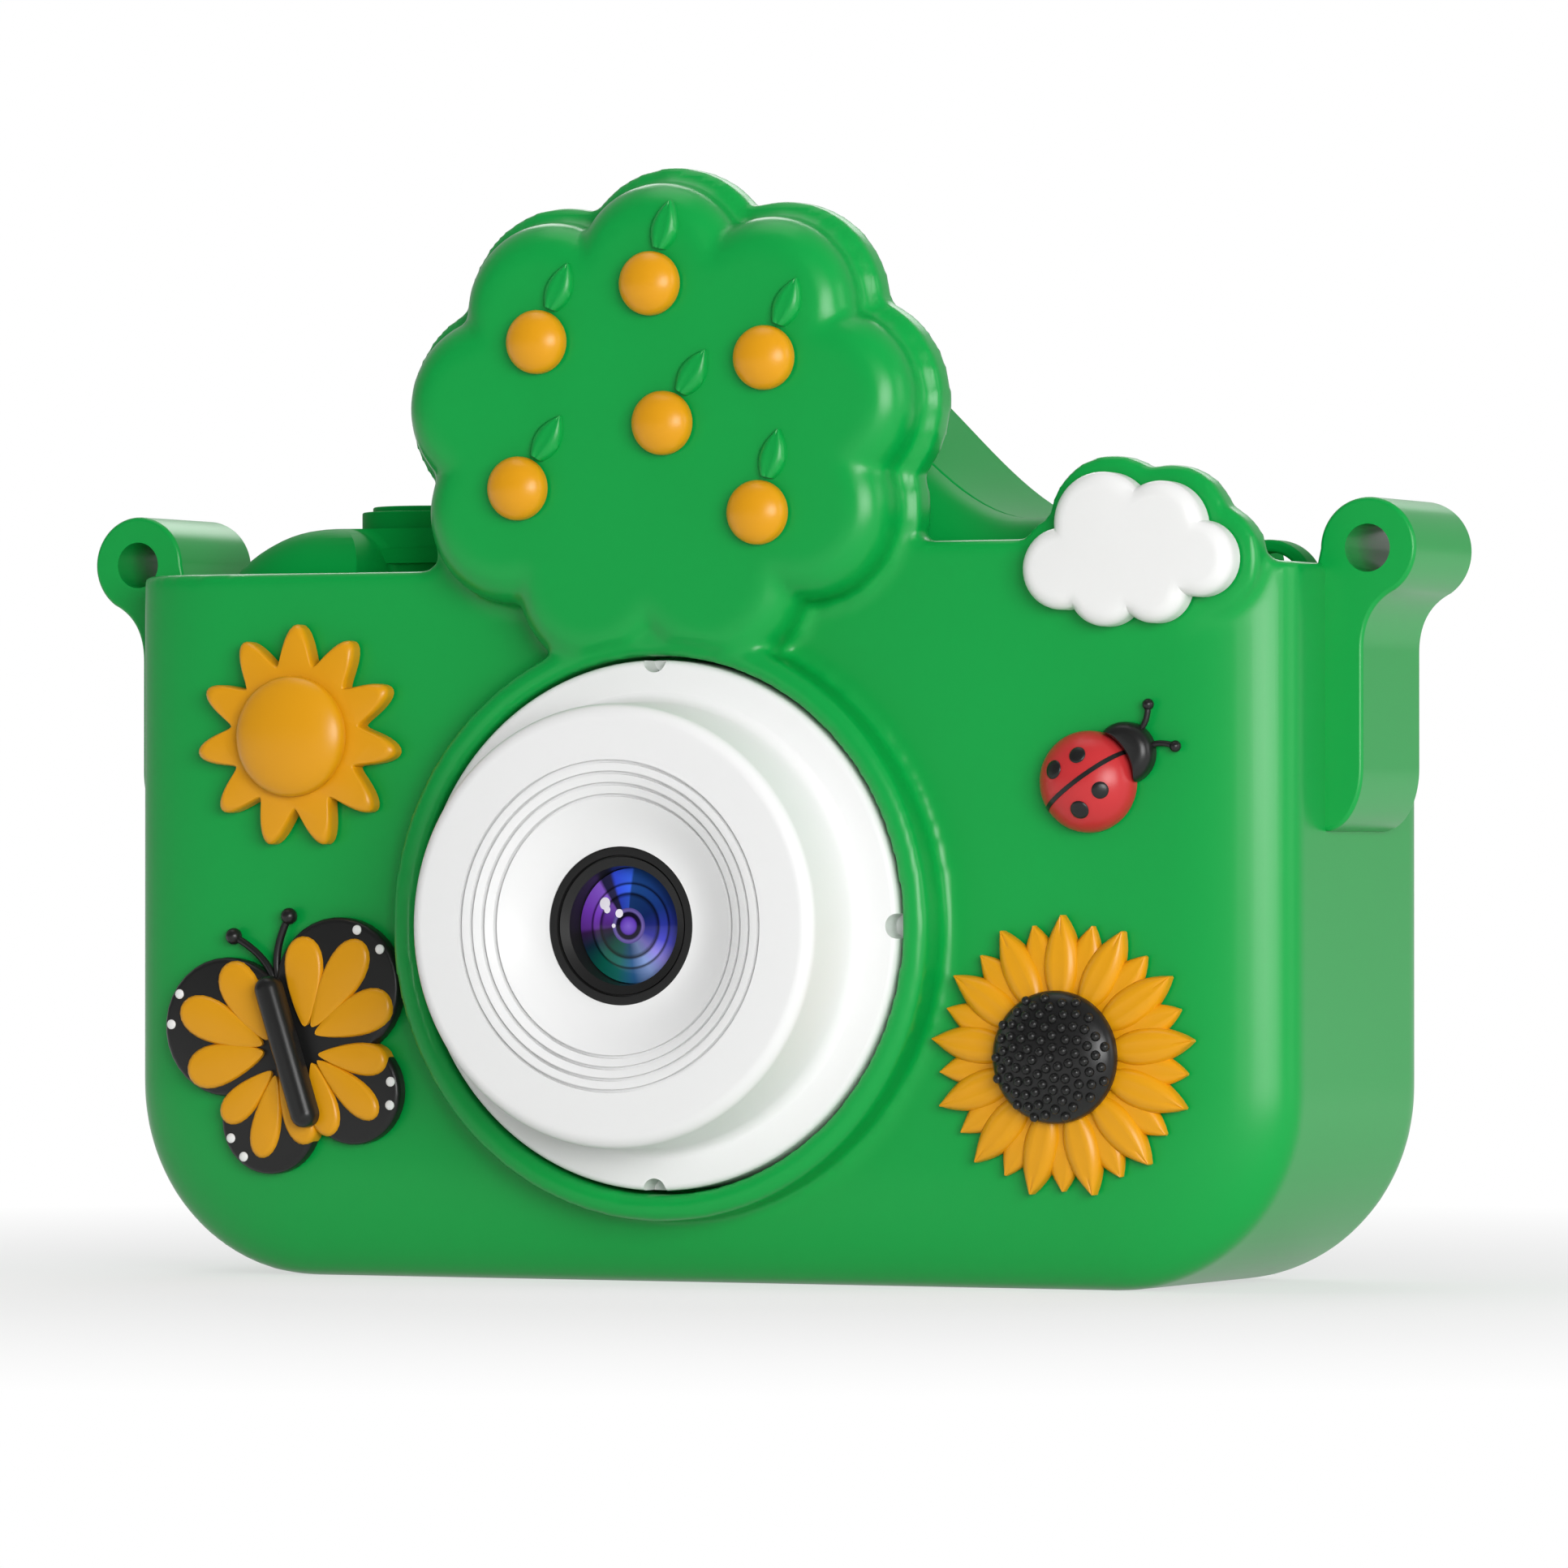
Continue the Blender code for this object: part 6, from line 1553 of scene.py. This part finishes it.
class KIDSCAM_OT_ladybird(Operator):
    """Puts the ladybird on the front: shell, head, spots and the line between its wings"""
    bl_idname = "kidscam.ladybird"
    bl_label = "Ladybird"

    def execute(self, context):
        inlays = context.scene.kidscam_inlays
        at = Places(context)
        centre = Vector((inlays.bug_x, at.inlay_back, inlays.bug_height))
        radius, rise, edge = inlays.bug_radius, inlays.bug_rise, at.gap
        shell = turned("bug_shell", dome_profile(radius, edge, rise), centre, steps=BUTTON_STEPS)
        dress(shade(shell, DOME_EDGE), "red_silicone", "ladybird_shell")
        rings = []
        for inset, height in rounded_inset(edge + rise / 2, BUG_EDGE):
            outline = crescent(inlays.bug_head - inset, inlays.bug_neck,
                               radius + at.gap / 3 + inset * NECK_INSET)
            rings.append([(p, centre.y - height, q)
                          for p, q in turned_by(outline, centre.x, centre.z, BUG_HEADING)])
        dress(shade(lofted("bug_head", rings), DOME_EDGE), "black_silicone", "ladybird_head")
        work = bmesh.new()
        add_feelers(work, BUG_FEELERS, inlays.bug_neck + inlays.bug_head * FEELER_ROOT, centre.x, centre.z,
                    centre.y, BUG_HEADING)
        self.add_spots(work, centre, radius, edge, rise)
        self.add_line(work, centre, radius, edge, rise)
        dress(shade(new_object("bug_spots", work), DOME_EDGE), "black_silicone")
        return {"FINISHED"}

    def add_spots(self, work, centre, radius, edge, rise):
        """Flat spots that lie on the shell."""
        for along, aside, size in BUG_SPOTS:
            [(u, v)] = turned_by([(radius * along, radius * aside)], 0, 0, BUG_HEADING)
            height = dome_height(math.hypot(u, v), radius, edge, rise)
            slope = rise ** 2 / radius ** 2
            lean = Vector((u * slope, -(height - edge), v * slope)).normalized()
            turn = Vector((0, 0, 1)).rotation_difference(lean).to_matrix().to_4x4()
            place = Matrix.Translation(centre + Vector((u, -height, v))) @ turn
            bmesh.ops.create_uvsphere(work, u_segments=24, v_segments=12, radius=radius * size,
                                      matrix=place @ Matrix.Diagonal((1, 1, SPOT_FLATNESS, 1)))

    def add_line(self, work, centre, radius, edge, rise):
        """The thin line between the wings, over the shell."""
        corners = ((-1, LINE_RISE), (-1, -LINE_SINK), (1, -LINE_SINK), (1, LINE_RISE))
        rings = []
        for i in range(LINE_STEPS + 1):
            a = math.radians(LINE_END * (2 * i / LINE_STEPS - 1))
            line = [(radius * math.sin(a), side * LINE_HALF) for side, lift in corners]
            places = turned_by(line, centre.x, centre.z, BUG_HEADING)
            height = edge + rise * math.cos(a)
            rings.append([(p, centre.y - height - lift, q) for (p, q), (side, lift) in zip(places, corners)])
        add_loft(work, rings)


# The butterfly: lobes of its wings (across, up, radius), its tilt in degrees, and the thickness and
# edge of the wings as shares of the inlays'
WING_LOBES = ((-0.0048, 0.0034, 0.0051), (0.0048, 0.0034, 0.0051),
              (0.0036, -0.0042, 0.0039), (-0.0036, -0.0042, 0.0039))
BUTTERFLY_TILT = 18
WING_THICKNESS, WING_EDGE = 0.75, 0.7
BODY_WIDTH, BODY_LENGTH, BODY_EDGE = 0.0020, 0.0115, 0.0008

# Fields of a wing: their turns from its middle in radians with their share of its reach, their root
# beside the body, the border, their edge, width in lobe radii, points, and the teardrop's shares
FIELD_FAN = ((-0.62, 0.90), (0.0, 1.0), (0.62, 0.90))
ROOT_ASIDE, ROOT_UP = 0.0014, 0.0006
FIELD_BORDER, FIELD_EDGE = 0.0011, 0.0005
FIELD_WIDTH = 0.42
FIELD_POINTS = 28
FIELD_MIDDLE, FIELD_TIP = 0.56, 0.30

# Dots of the upper and lower wings, in degrees round their lobes, with their radius, distance from the
# edge and rise, and where the feelers leave
UPPER_DOTS, LOWER_DOTS = (20, 50), (-35, -5)
DOT_RADIUS, DOT_INSET, DOT_RISE = 0.00036, 0.0006, 0.00015
FEELERS_LEAVE = 0.0054


def wing_field(root, heading, far, wide):
    """The teardrop outline of one field of a wing, from near the wing's root outwards."""
    points = []
    for i in range(FIELD_POINTS):
        turn = 2 * math.pi * i / FIELD_POINTS
        along = far * (FIELD_MIDDLE + (1 - FIELD_MIDDLE) * math.cos(turn))
        points.append((along, wide * math.sin(turn) * (FIELD_TIP + (1 - FIELD_TIP) * along / far)))
    return turned_by(points, *root, math.degrees(heading))


class KIDSCAM_OT_butterfly(Operator):
    """Puts the butterfly on the front: dark wings with amber fields, a body and feelers"""
    bl_idname = "kidscam.butterfly"
    bl_label = "Butterfly"

    def execute(self, context):
        inlays = context.scene.kidscam_inlays
        back = Places(context).inlay_back
        place = (inlays.butterfly_x, inlays.butterfly_height, BUTTERFLY_TILT)
        wings = turned_by(lobed(list(reversed(WING_LOBES))), *place)
        base = flat_inlay("wing_base", wings, back, inlays.thickness * WING_THICKNESS,
                          inlays.edge * WING_EDGE)
        dress(base, "black_silicone", "butterfly_wings")
        work = bmesh.new()
        for lobe in WING_LOBES:
            self.add_fields(work, lobe, inlays, back, place)
        dress(shade(new_object("wing_fields", work), DOME_EDGE), "amber_silicone")
        work = bmesh.new()
        profile = dome_profile(DOT_RADIUS, inlays.thickness * WING_THICKNESS, DOT_RISE)
        for x, z, radius in WING_LOBES:
            side, ring = math.copysign(1, x), radius - DOT_INSET
            for turn in UPPER_DOTS if z > 0 else LOWER_DOTS:
                a = math.radians(turn)
                [(u, v)] = turned_by([(x + side * ring * math.cos(a), z + ring * math.sin(a))], *place)
                add_turned(work, profile, (u, back, v), "front", DOT_STEPS)
        dress(shade(new_object("wing_dots", work), DOME_EDGE), "white_silicone")
        low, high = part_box("butterfly_body")
        outline = turned_by(stadium(0, 0, BODY_WIDTH, BODY_LENGTH), *place)
        body = flat_inlay("bug_body", outline, high[1], high[1] - low[1], BODY_EDGE)
        dress(body, "black_silicone", "butterfly_body")
        work = bmesh.new()
        add_feelers(work, WING_FEELERS, FEELERS_LEAVE, place[0], place[1], back, BUTTERFLY_TILT + 90)
        dress(shade(new_object("feelers", work), DOME_EDGE), "black_silicone")
        return {"FINISHED"}

    def add_fields(self, work, lobe, inlays, back, place):
        """The amber fields of one wing, fanned out from its root."""
        x, z, radius = lobe
        side, rise = math.copysign(1, x), math.copysign(1, z)
        root = (side * ROOT_ASIDE, rise * ROOT_UP)
        du, dv = x - root[0], z - root[1]
        for spread, share in FIELD_FAN:
            heading = math.atan2(dv, du) + side * rise * spread
            far = (math.hypot(du, dv) + radius) * share - FIELD_BORDER
            rings = []
            for inset, height in rounded_inset(inlays.thickness, FIELD_EDGE, steps=5):
                field = wing_field(root, heading, far - inset, radius * FIELD_WIDTH - inset)
                rings.append([(p, back - height, q) for p, q in turned_by(field, *place)])
            add_loft(work, rings)


# Rows of petals: share of the inlays' thickness, how much shorter they are, and half their width
PETAL_ROWS = ((1.0, 0.0), (0.65, 0.0005))
PETAL_HALF = 0.00135
# Seeds: number, radius, angle from one to the next in degrees, share of the disc that they fill, and
# share of the rise that is the disc's
SEED_COUNT, SEED_SIZE = 84, 0.00036
GOLDEN_ANGLE = 137.508
SEED_SPREAD = 0.94
SEED_RISE = 0.9


class KIDSCAM_OT_sunflower(Operator):
    """Puts the sunflower on the front: two rows of petals round a disc of seeds"""
    bl_idname = "kidscam.sunflower"
    bl_label = "Sunflower"

    def execute(self, context):
        inlays = context.scene.kidscam_inlays
        at = Places(context)
        u, v = inlays.sunflower_x, inlays.sunflower_height
        work = bmesh.new()
        for row, (share, shorter) in enumerate(PETAL_ROWS):
            for i in range(inlays.petal_count):
                angle = 360 * (i + row / 2) / inlays.petal_count + 90
                add_petal(work, u, v, at.inlay_back, angle, inlays.petal_inner,
                          inlays.petal_outer - shorter, inlays.thickness * share, PETAL_HALF)
        dress(shade(new_object("petals", work), LEAF_EDGE), "amber_silicone", "sunflower_petals")
        base = Vector((u, at.inlay_front - at.gap, v))
        work = bmesh.new()
        radius, rise = inlays.seed_radius, inlays.seed_rise * SEED_RISE
        add_turned(work, dome_profile(radius, at.gap, rise), base, "front", BUTTON_STEPS)
        for i in range(SEED_COUNT):
            out = radius * SEED_SPREAD * math.sqrt((i + 0.5) / SEED_COUNT)
            turn = math.radians(GOLDEN_ANGLE * i)
            height = dome_height(out, radius, at.gap, rise)
            place = base + Vector((out * math.cos(turn), -height, out * math.sin(turn)))
            bmesh.ops.create_uvsphere(work, u_segments=10, v_segments=6, radius=SEED_SIZE,
                                      matrix=Matrix.Translation(place))
        dress(shade(new_object("seed_disc", work), DOME_EDGE), "black_silicone", "sunflower_disc")
        return {"FINISHED"}


INNER_PIECES = {
    "board_green": ("sensor_board", "main_board", "key_board", "switch_board"),
    "steel": ("dome_sheet", "shutter_switch", "power_switch", "microphone", "card_socket", *SCREWS),
    "black_plastic": ("lens_holder", "loudspeaker", "display_panel", "rear_camera"),
    "cell_foil": ("battery",),
    "lead_red": ("battery_lead",),
    "cable_amber": ("sensor_cable",),
}


class KIDSCAM_OT_inside(Operator):
    """Gives the pieces inside the camera their finishes"""
    bl_idname = "kidscam.inside"
    bl_label = "Inner pieces"

    def execute(self, context):
        for finish, names in INNER_PIECES.items():
            for name in names:
                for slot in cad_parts[name].material_slots:
                    slot.material = FINISHES[finish]
        return {"FINISHED"}


def seen_ray(tree):
    """1 for rays from the camera, from glossy surfaces and through glass, else 0."""
    path = add_node(tree, "ShaderNodeLightPath")
    total = path.outputs["Is Camera Ray"]
    for name in ("Is Glossy Ray", "Is Transmission Ray"):
        total = add_maths(tree, "MAXIMUM", total, path.outputs[name])
    return total


def blend_out(tree, share, first, second, kind):
    """Sends out two shaders, mixed by the second's share."""
    mix = add_node(tree, "ShaderNodeMixShader", share, first.outputs[0], second.outputs[0])
    add_node(tree, kind, Surface=mix.outputs["Shader"])


# Soft boxes: name, place, width, height, power; all look at one point
LAMPS = (
    ("right_box", (0.47, -0.52, 0.04), 0.35, 0.49, 4.75),
    ("front_box", (0.45, -0.85, 0.12), 0.40, 0.20, 1.6),
    ("side_box", (0.95, -0.05, 0.25), 0.40, 0.40, 1.2),
    ("back_box", (-0.25, 0.75, 0.55), 0.60, 0.30, 1.8),
    ("top_box", (-0.10, 0.00, 0.60), 0.50, 0.30, 0.6),
)
LAMP_TARGET = (0.0, 0.0, 0.035)

# The floor: half its size, its paint, and how its glow grows with the distance from the middle
FLOOR_HALF = 6.0
FLOOR_PAINT = (0.85, 0.85, 0.85)
FLOOR_FADE = {"From_Min": 0.05, "From_Max": 0.16, "To_Min": 0.62, "To_Max": 1.0}

# The world: its light on the pieces, and what glossy surfaces see from the front to the rear
WHITE = (1.0, 1.0, 1.0)
AMBIENT = 0.28
SEEN_FADE = {"From_Min": -0.5, "From_Max": 0.3, "To_Min": 0.15, "To_Max": 0.60}

# The camera that took the photo: its place, the way it looks, and its lens and sensor in mm
CAMERA_PLACE = (0.2987, -0.6468, 0.0304)
CAMERA_AHEAD = (-0.4179, 0.9085, 0.00792)
CAMERA_LENS, CAMERA_SENSOR = 223.6, 36.0
CAMERA_CLIP = 0.01


def aim(thing, place, ahead):
    """Puts a lamp or camera in the scene at a place, looking along a direction."""
    made = bpy.data.objects.new(thing.name, thing)
    made.location = place
    made.rotation_euler = Vector(ahead).to_track_quat("-Z", "Y").to_euler()
    bpy.context.scene.collection.objects.link(made)
    return made


class KIDSCAM_OT_stage(Operator):
    """Sets up the floor, the soft light and the camera"""
    bl_idname = "kidscam.stage"
    bl_label = "Stage"

    def execute(self, context):
        scene = context.scene
        scene.view_settings.view_transform = "Standard"
        self.make_floor()
        self.make_world(scene)
        for name, place, width, tall, power in LAMPS:
            lamp = bpy.data.lights.new(name, "AREA")
            lamp.shape = "RECTANGLE"
            lamp.size, lamp.size_y, lamp.energy = width, tall, power
            aim(lamp, place, Vector(LAMP_TARGET) - Vector(place))
        lens = bpy.data.cameras.new("photo_camera")
        lens.sensor_fit = "HORIZONTAL"
        lens.sensor_width, lens.lens, lens.clip_start = CAMERA_SENSOR, CAMERA_LENS, CAMERA_CLIP
        scene.camera = aim(lens, CAMERA_PLACE, CAMERA_AHEAD)
        return {"FINISHED"}

    def make_floor(self):
        """A pale floor that keeps the shadow near the camera and is white farther out."""
        work = bmesh.new()
        bmesh.ops.create_grid(work, x_segments=1, y_segments=1, size=FLOOR_HALF)
        floor = new_object("floor", work)
        material = bpy.data.materials.new("white_floor")
        material.use_nodes = True
        tree = material.node_tree
        tree.nodes.clear()
        places = add_node(tree, "ShaderNodeTexCoord").outputs["Object"]
        reach = add_node(tree, "ShaderNodeVectorMath", places)
        reach.operation = "LENGTH"
        fade = add_node(tree, "ShaderNodeMapRange", Value=reach.outputs["Value"], **FLOOR_FADE)
        share = add_maths(tree, "MULTIPLY", seen_ray(tree), fade.outputs["Result"])
        blend_out(tree, share, add_node(tree, "ShaderNodeBsdfDiffuse", Color=FLOOR_PAINT),
                  add_node(tree, "ShaderNodeEmission", Strength=1.0), "ShaderNodeOutputMaterial")
        floor.data.materials.append(material)

    def make_world(self, scene):
        """White to the camera, graded for glossy surfaces and dim for the light on the pieces."""
        scene.world = bpy.data.worlds.new("studio")
        scene.world.use_nodes = True
        tree = scene.world.node_tree
        tree.nodes.clear()
        places = add_node(tree, "ShaderNodeTexCoord").outputs["Generated"]
        split = add_node(tree, "ShaderNodeSeparateXYZ", places)
        level = add_node(tree, "ShaderNodeMapRange", Value=split.outputs["Y"], **SEEN_FADE)
        camera = add_node(tree, "ShaderNodeLightPath").outputs["Is Camera Ray"]
        strength = add_maths(tree, "MAXIMUM", camera, level.outputs["Result"])
        blend_out(tree, seen_ray(tree), add_node(tree, "ShaderNodeBackground", Color=WHITE, Strength=AMBIENT),
                  add_node(tree, "ShaderNodeBackground", Color=WHITE, Strength=strength),
                  "ShaderNodeOutputWorld")


STEPS = (
    KIDSCAM_OT_stage, KIDSCAM_OT_sleeve, KIDSCAM_OT_front_housing, KIDSCAM_OT_rear_housing,
    KIDSCAM_OT_lens_ring, KIDSCAM_OT_lens_barrel, KIDSCAM_OT_lens_bezel, KIDSCAM_OT_lens_glass,
    KIDSCAM_OT_top_buttons, KIDSCAM_OT_rear_buttons, KIDSCAM_OT_screen, KIDSCAM_OT_rear_lens,
    KIDSCAM_OT_ports, KIDSCAM_OT_fruit, KIDSCAM_OT_cloud, KIDSCAM_OT_sun, KIDSCAM_OT_ladybird,
    KIDSCAM_OT_butterfly, KIDSCAM_OT_sunflower, KIDSCAM_OT_inside,
)


class KIDSCAM_PT_panel(Panel):
    """Lists the camera's pieces in the sidebar"""
    bl_idname = "KIDSCAM_PT_panel"
    bl_label = "Kids digital camera"
    bl_space_type = "VIEW_3D"
    bl_region_type = "UI"
    bl_category = "Kids camera"

    def draw(self, context):
        for step in STEPS:
            self.layout.operator(step.bl_idname, text=step.bl_label)


GROUPS = {
    "kidscam_sleeve": SleeveSizes,
    "kidscam_crown": CrownSizes,
    "kidscam_housing": HousingSizes,
    "kidscam_lens": LensSizes,
    "kidscam_rear": RearSizes,
    "kidscam_inlays": InlaySizes,
    "kidscam_colours": FinishColours,
}


def register():
    for name, group in GROUPS.items():
        bpy.utils.register_class(group)
        setattr(bpy.types.Scene, name, PointerProperty(type=group))
    for step in STEPS:
        bpy.utils.register_class(step)
    bpy.utils.register_class(KIDSCAM_PT_panel)


def unregister():
    bpy.utils.unregister_class(KIDSCAM_PT_panel)
    for step in reversed(STEPS):
        bpy.utils.unregister_class(step)
    for name, group in GROUPS.items():
        delattr(bpy.types.Scene, name)
        bpy.utils.unregister_class(group)


def main():
    register()
    make_finishes(bpy.context)
    for step in STEPS:
        getattr(bpy.ops.kidscam, step.bl_idname.split(".")[1])()


if __name__ == "__main__":
    main()
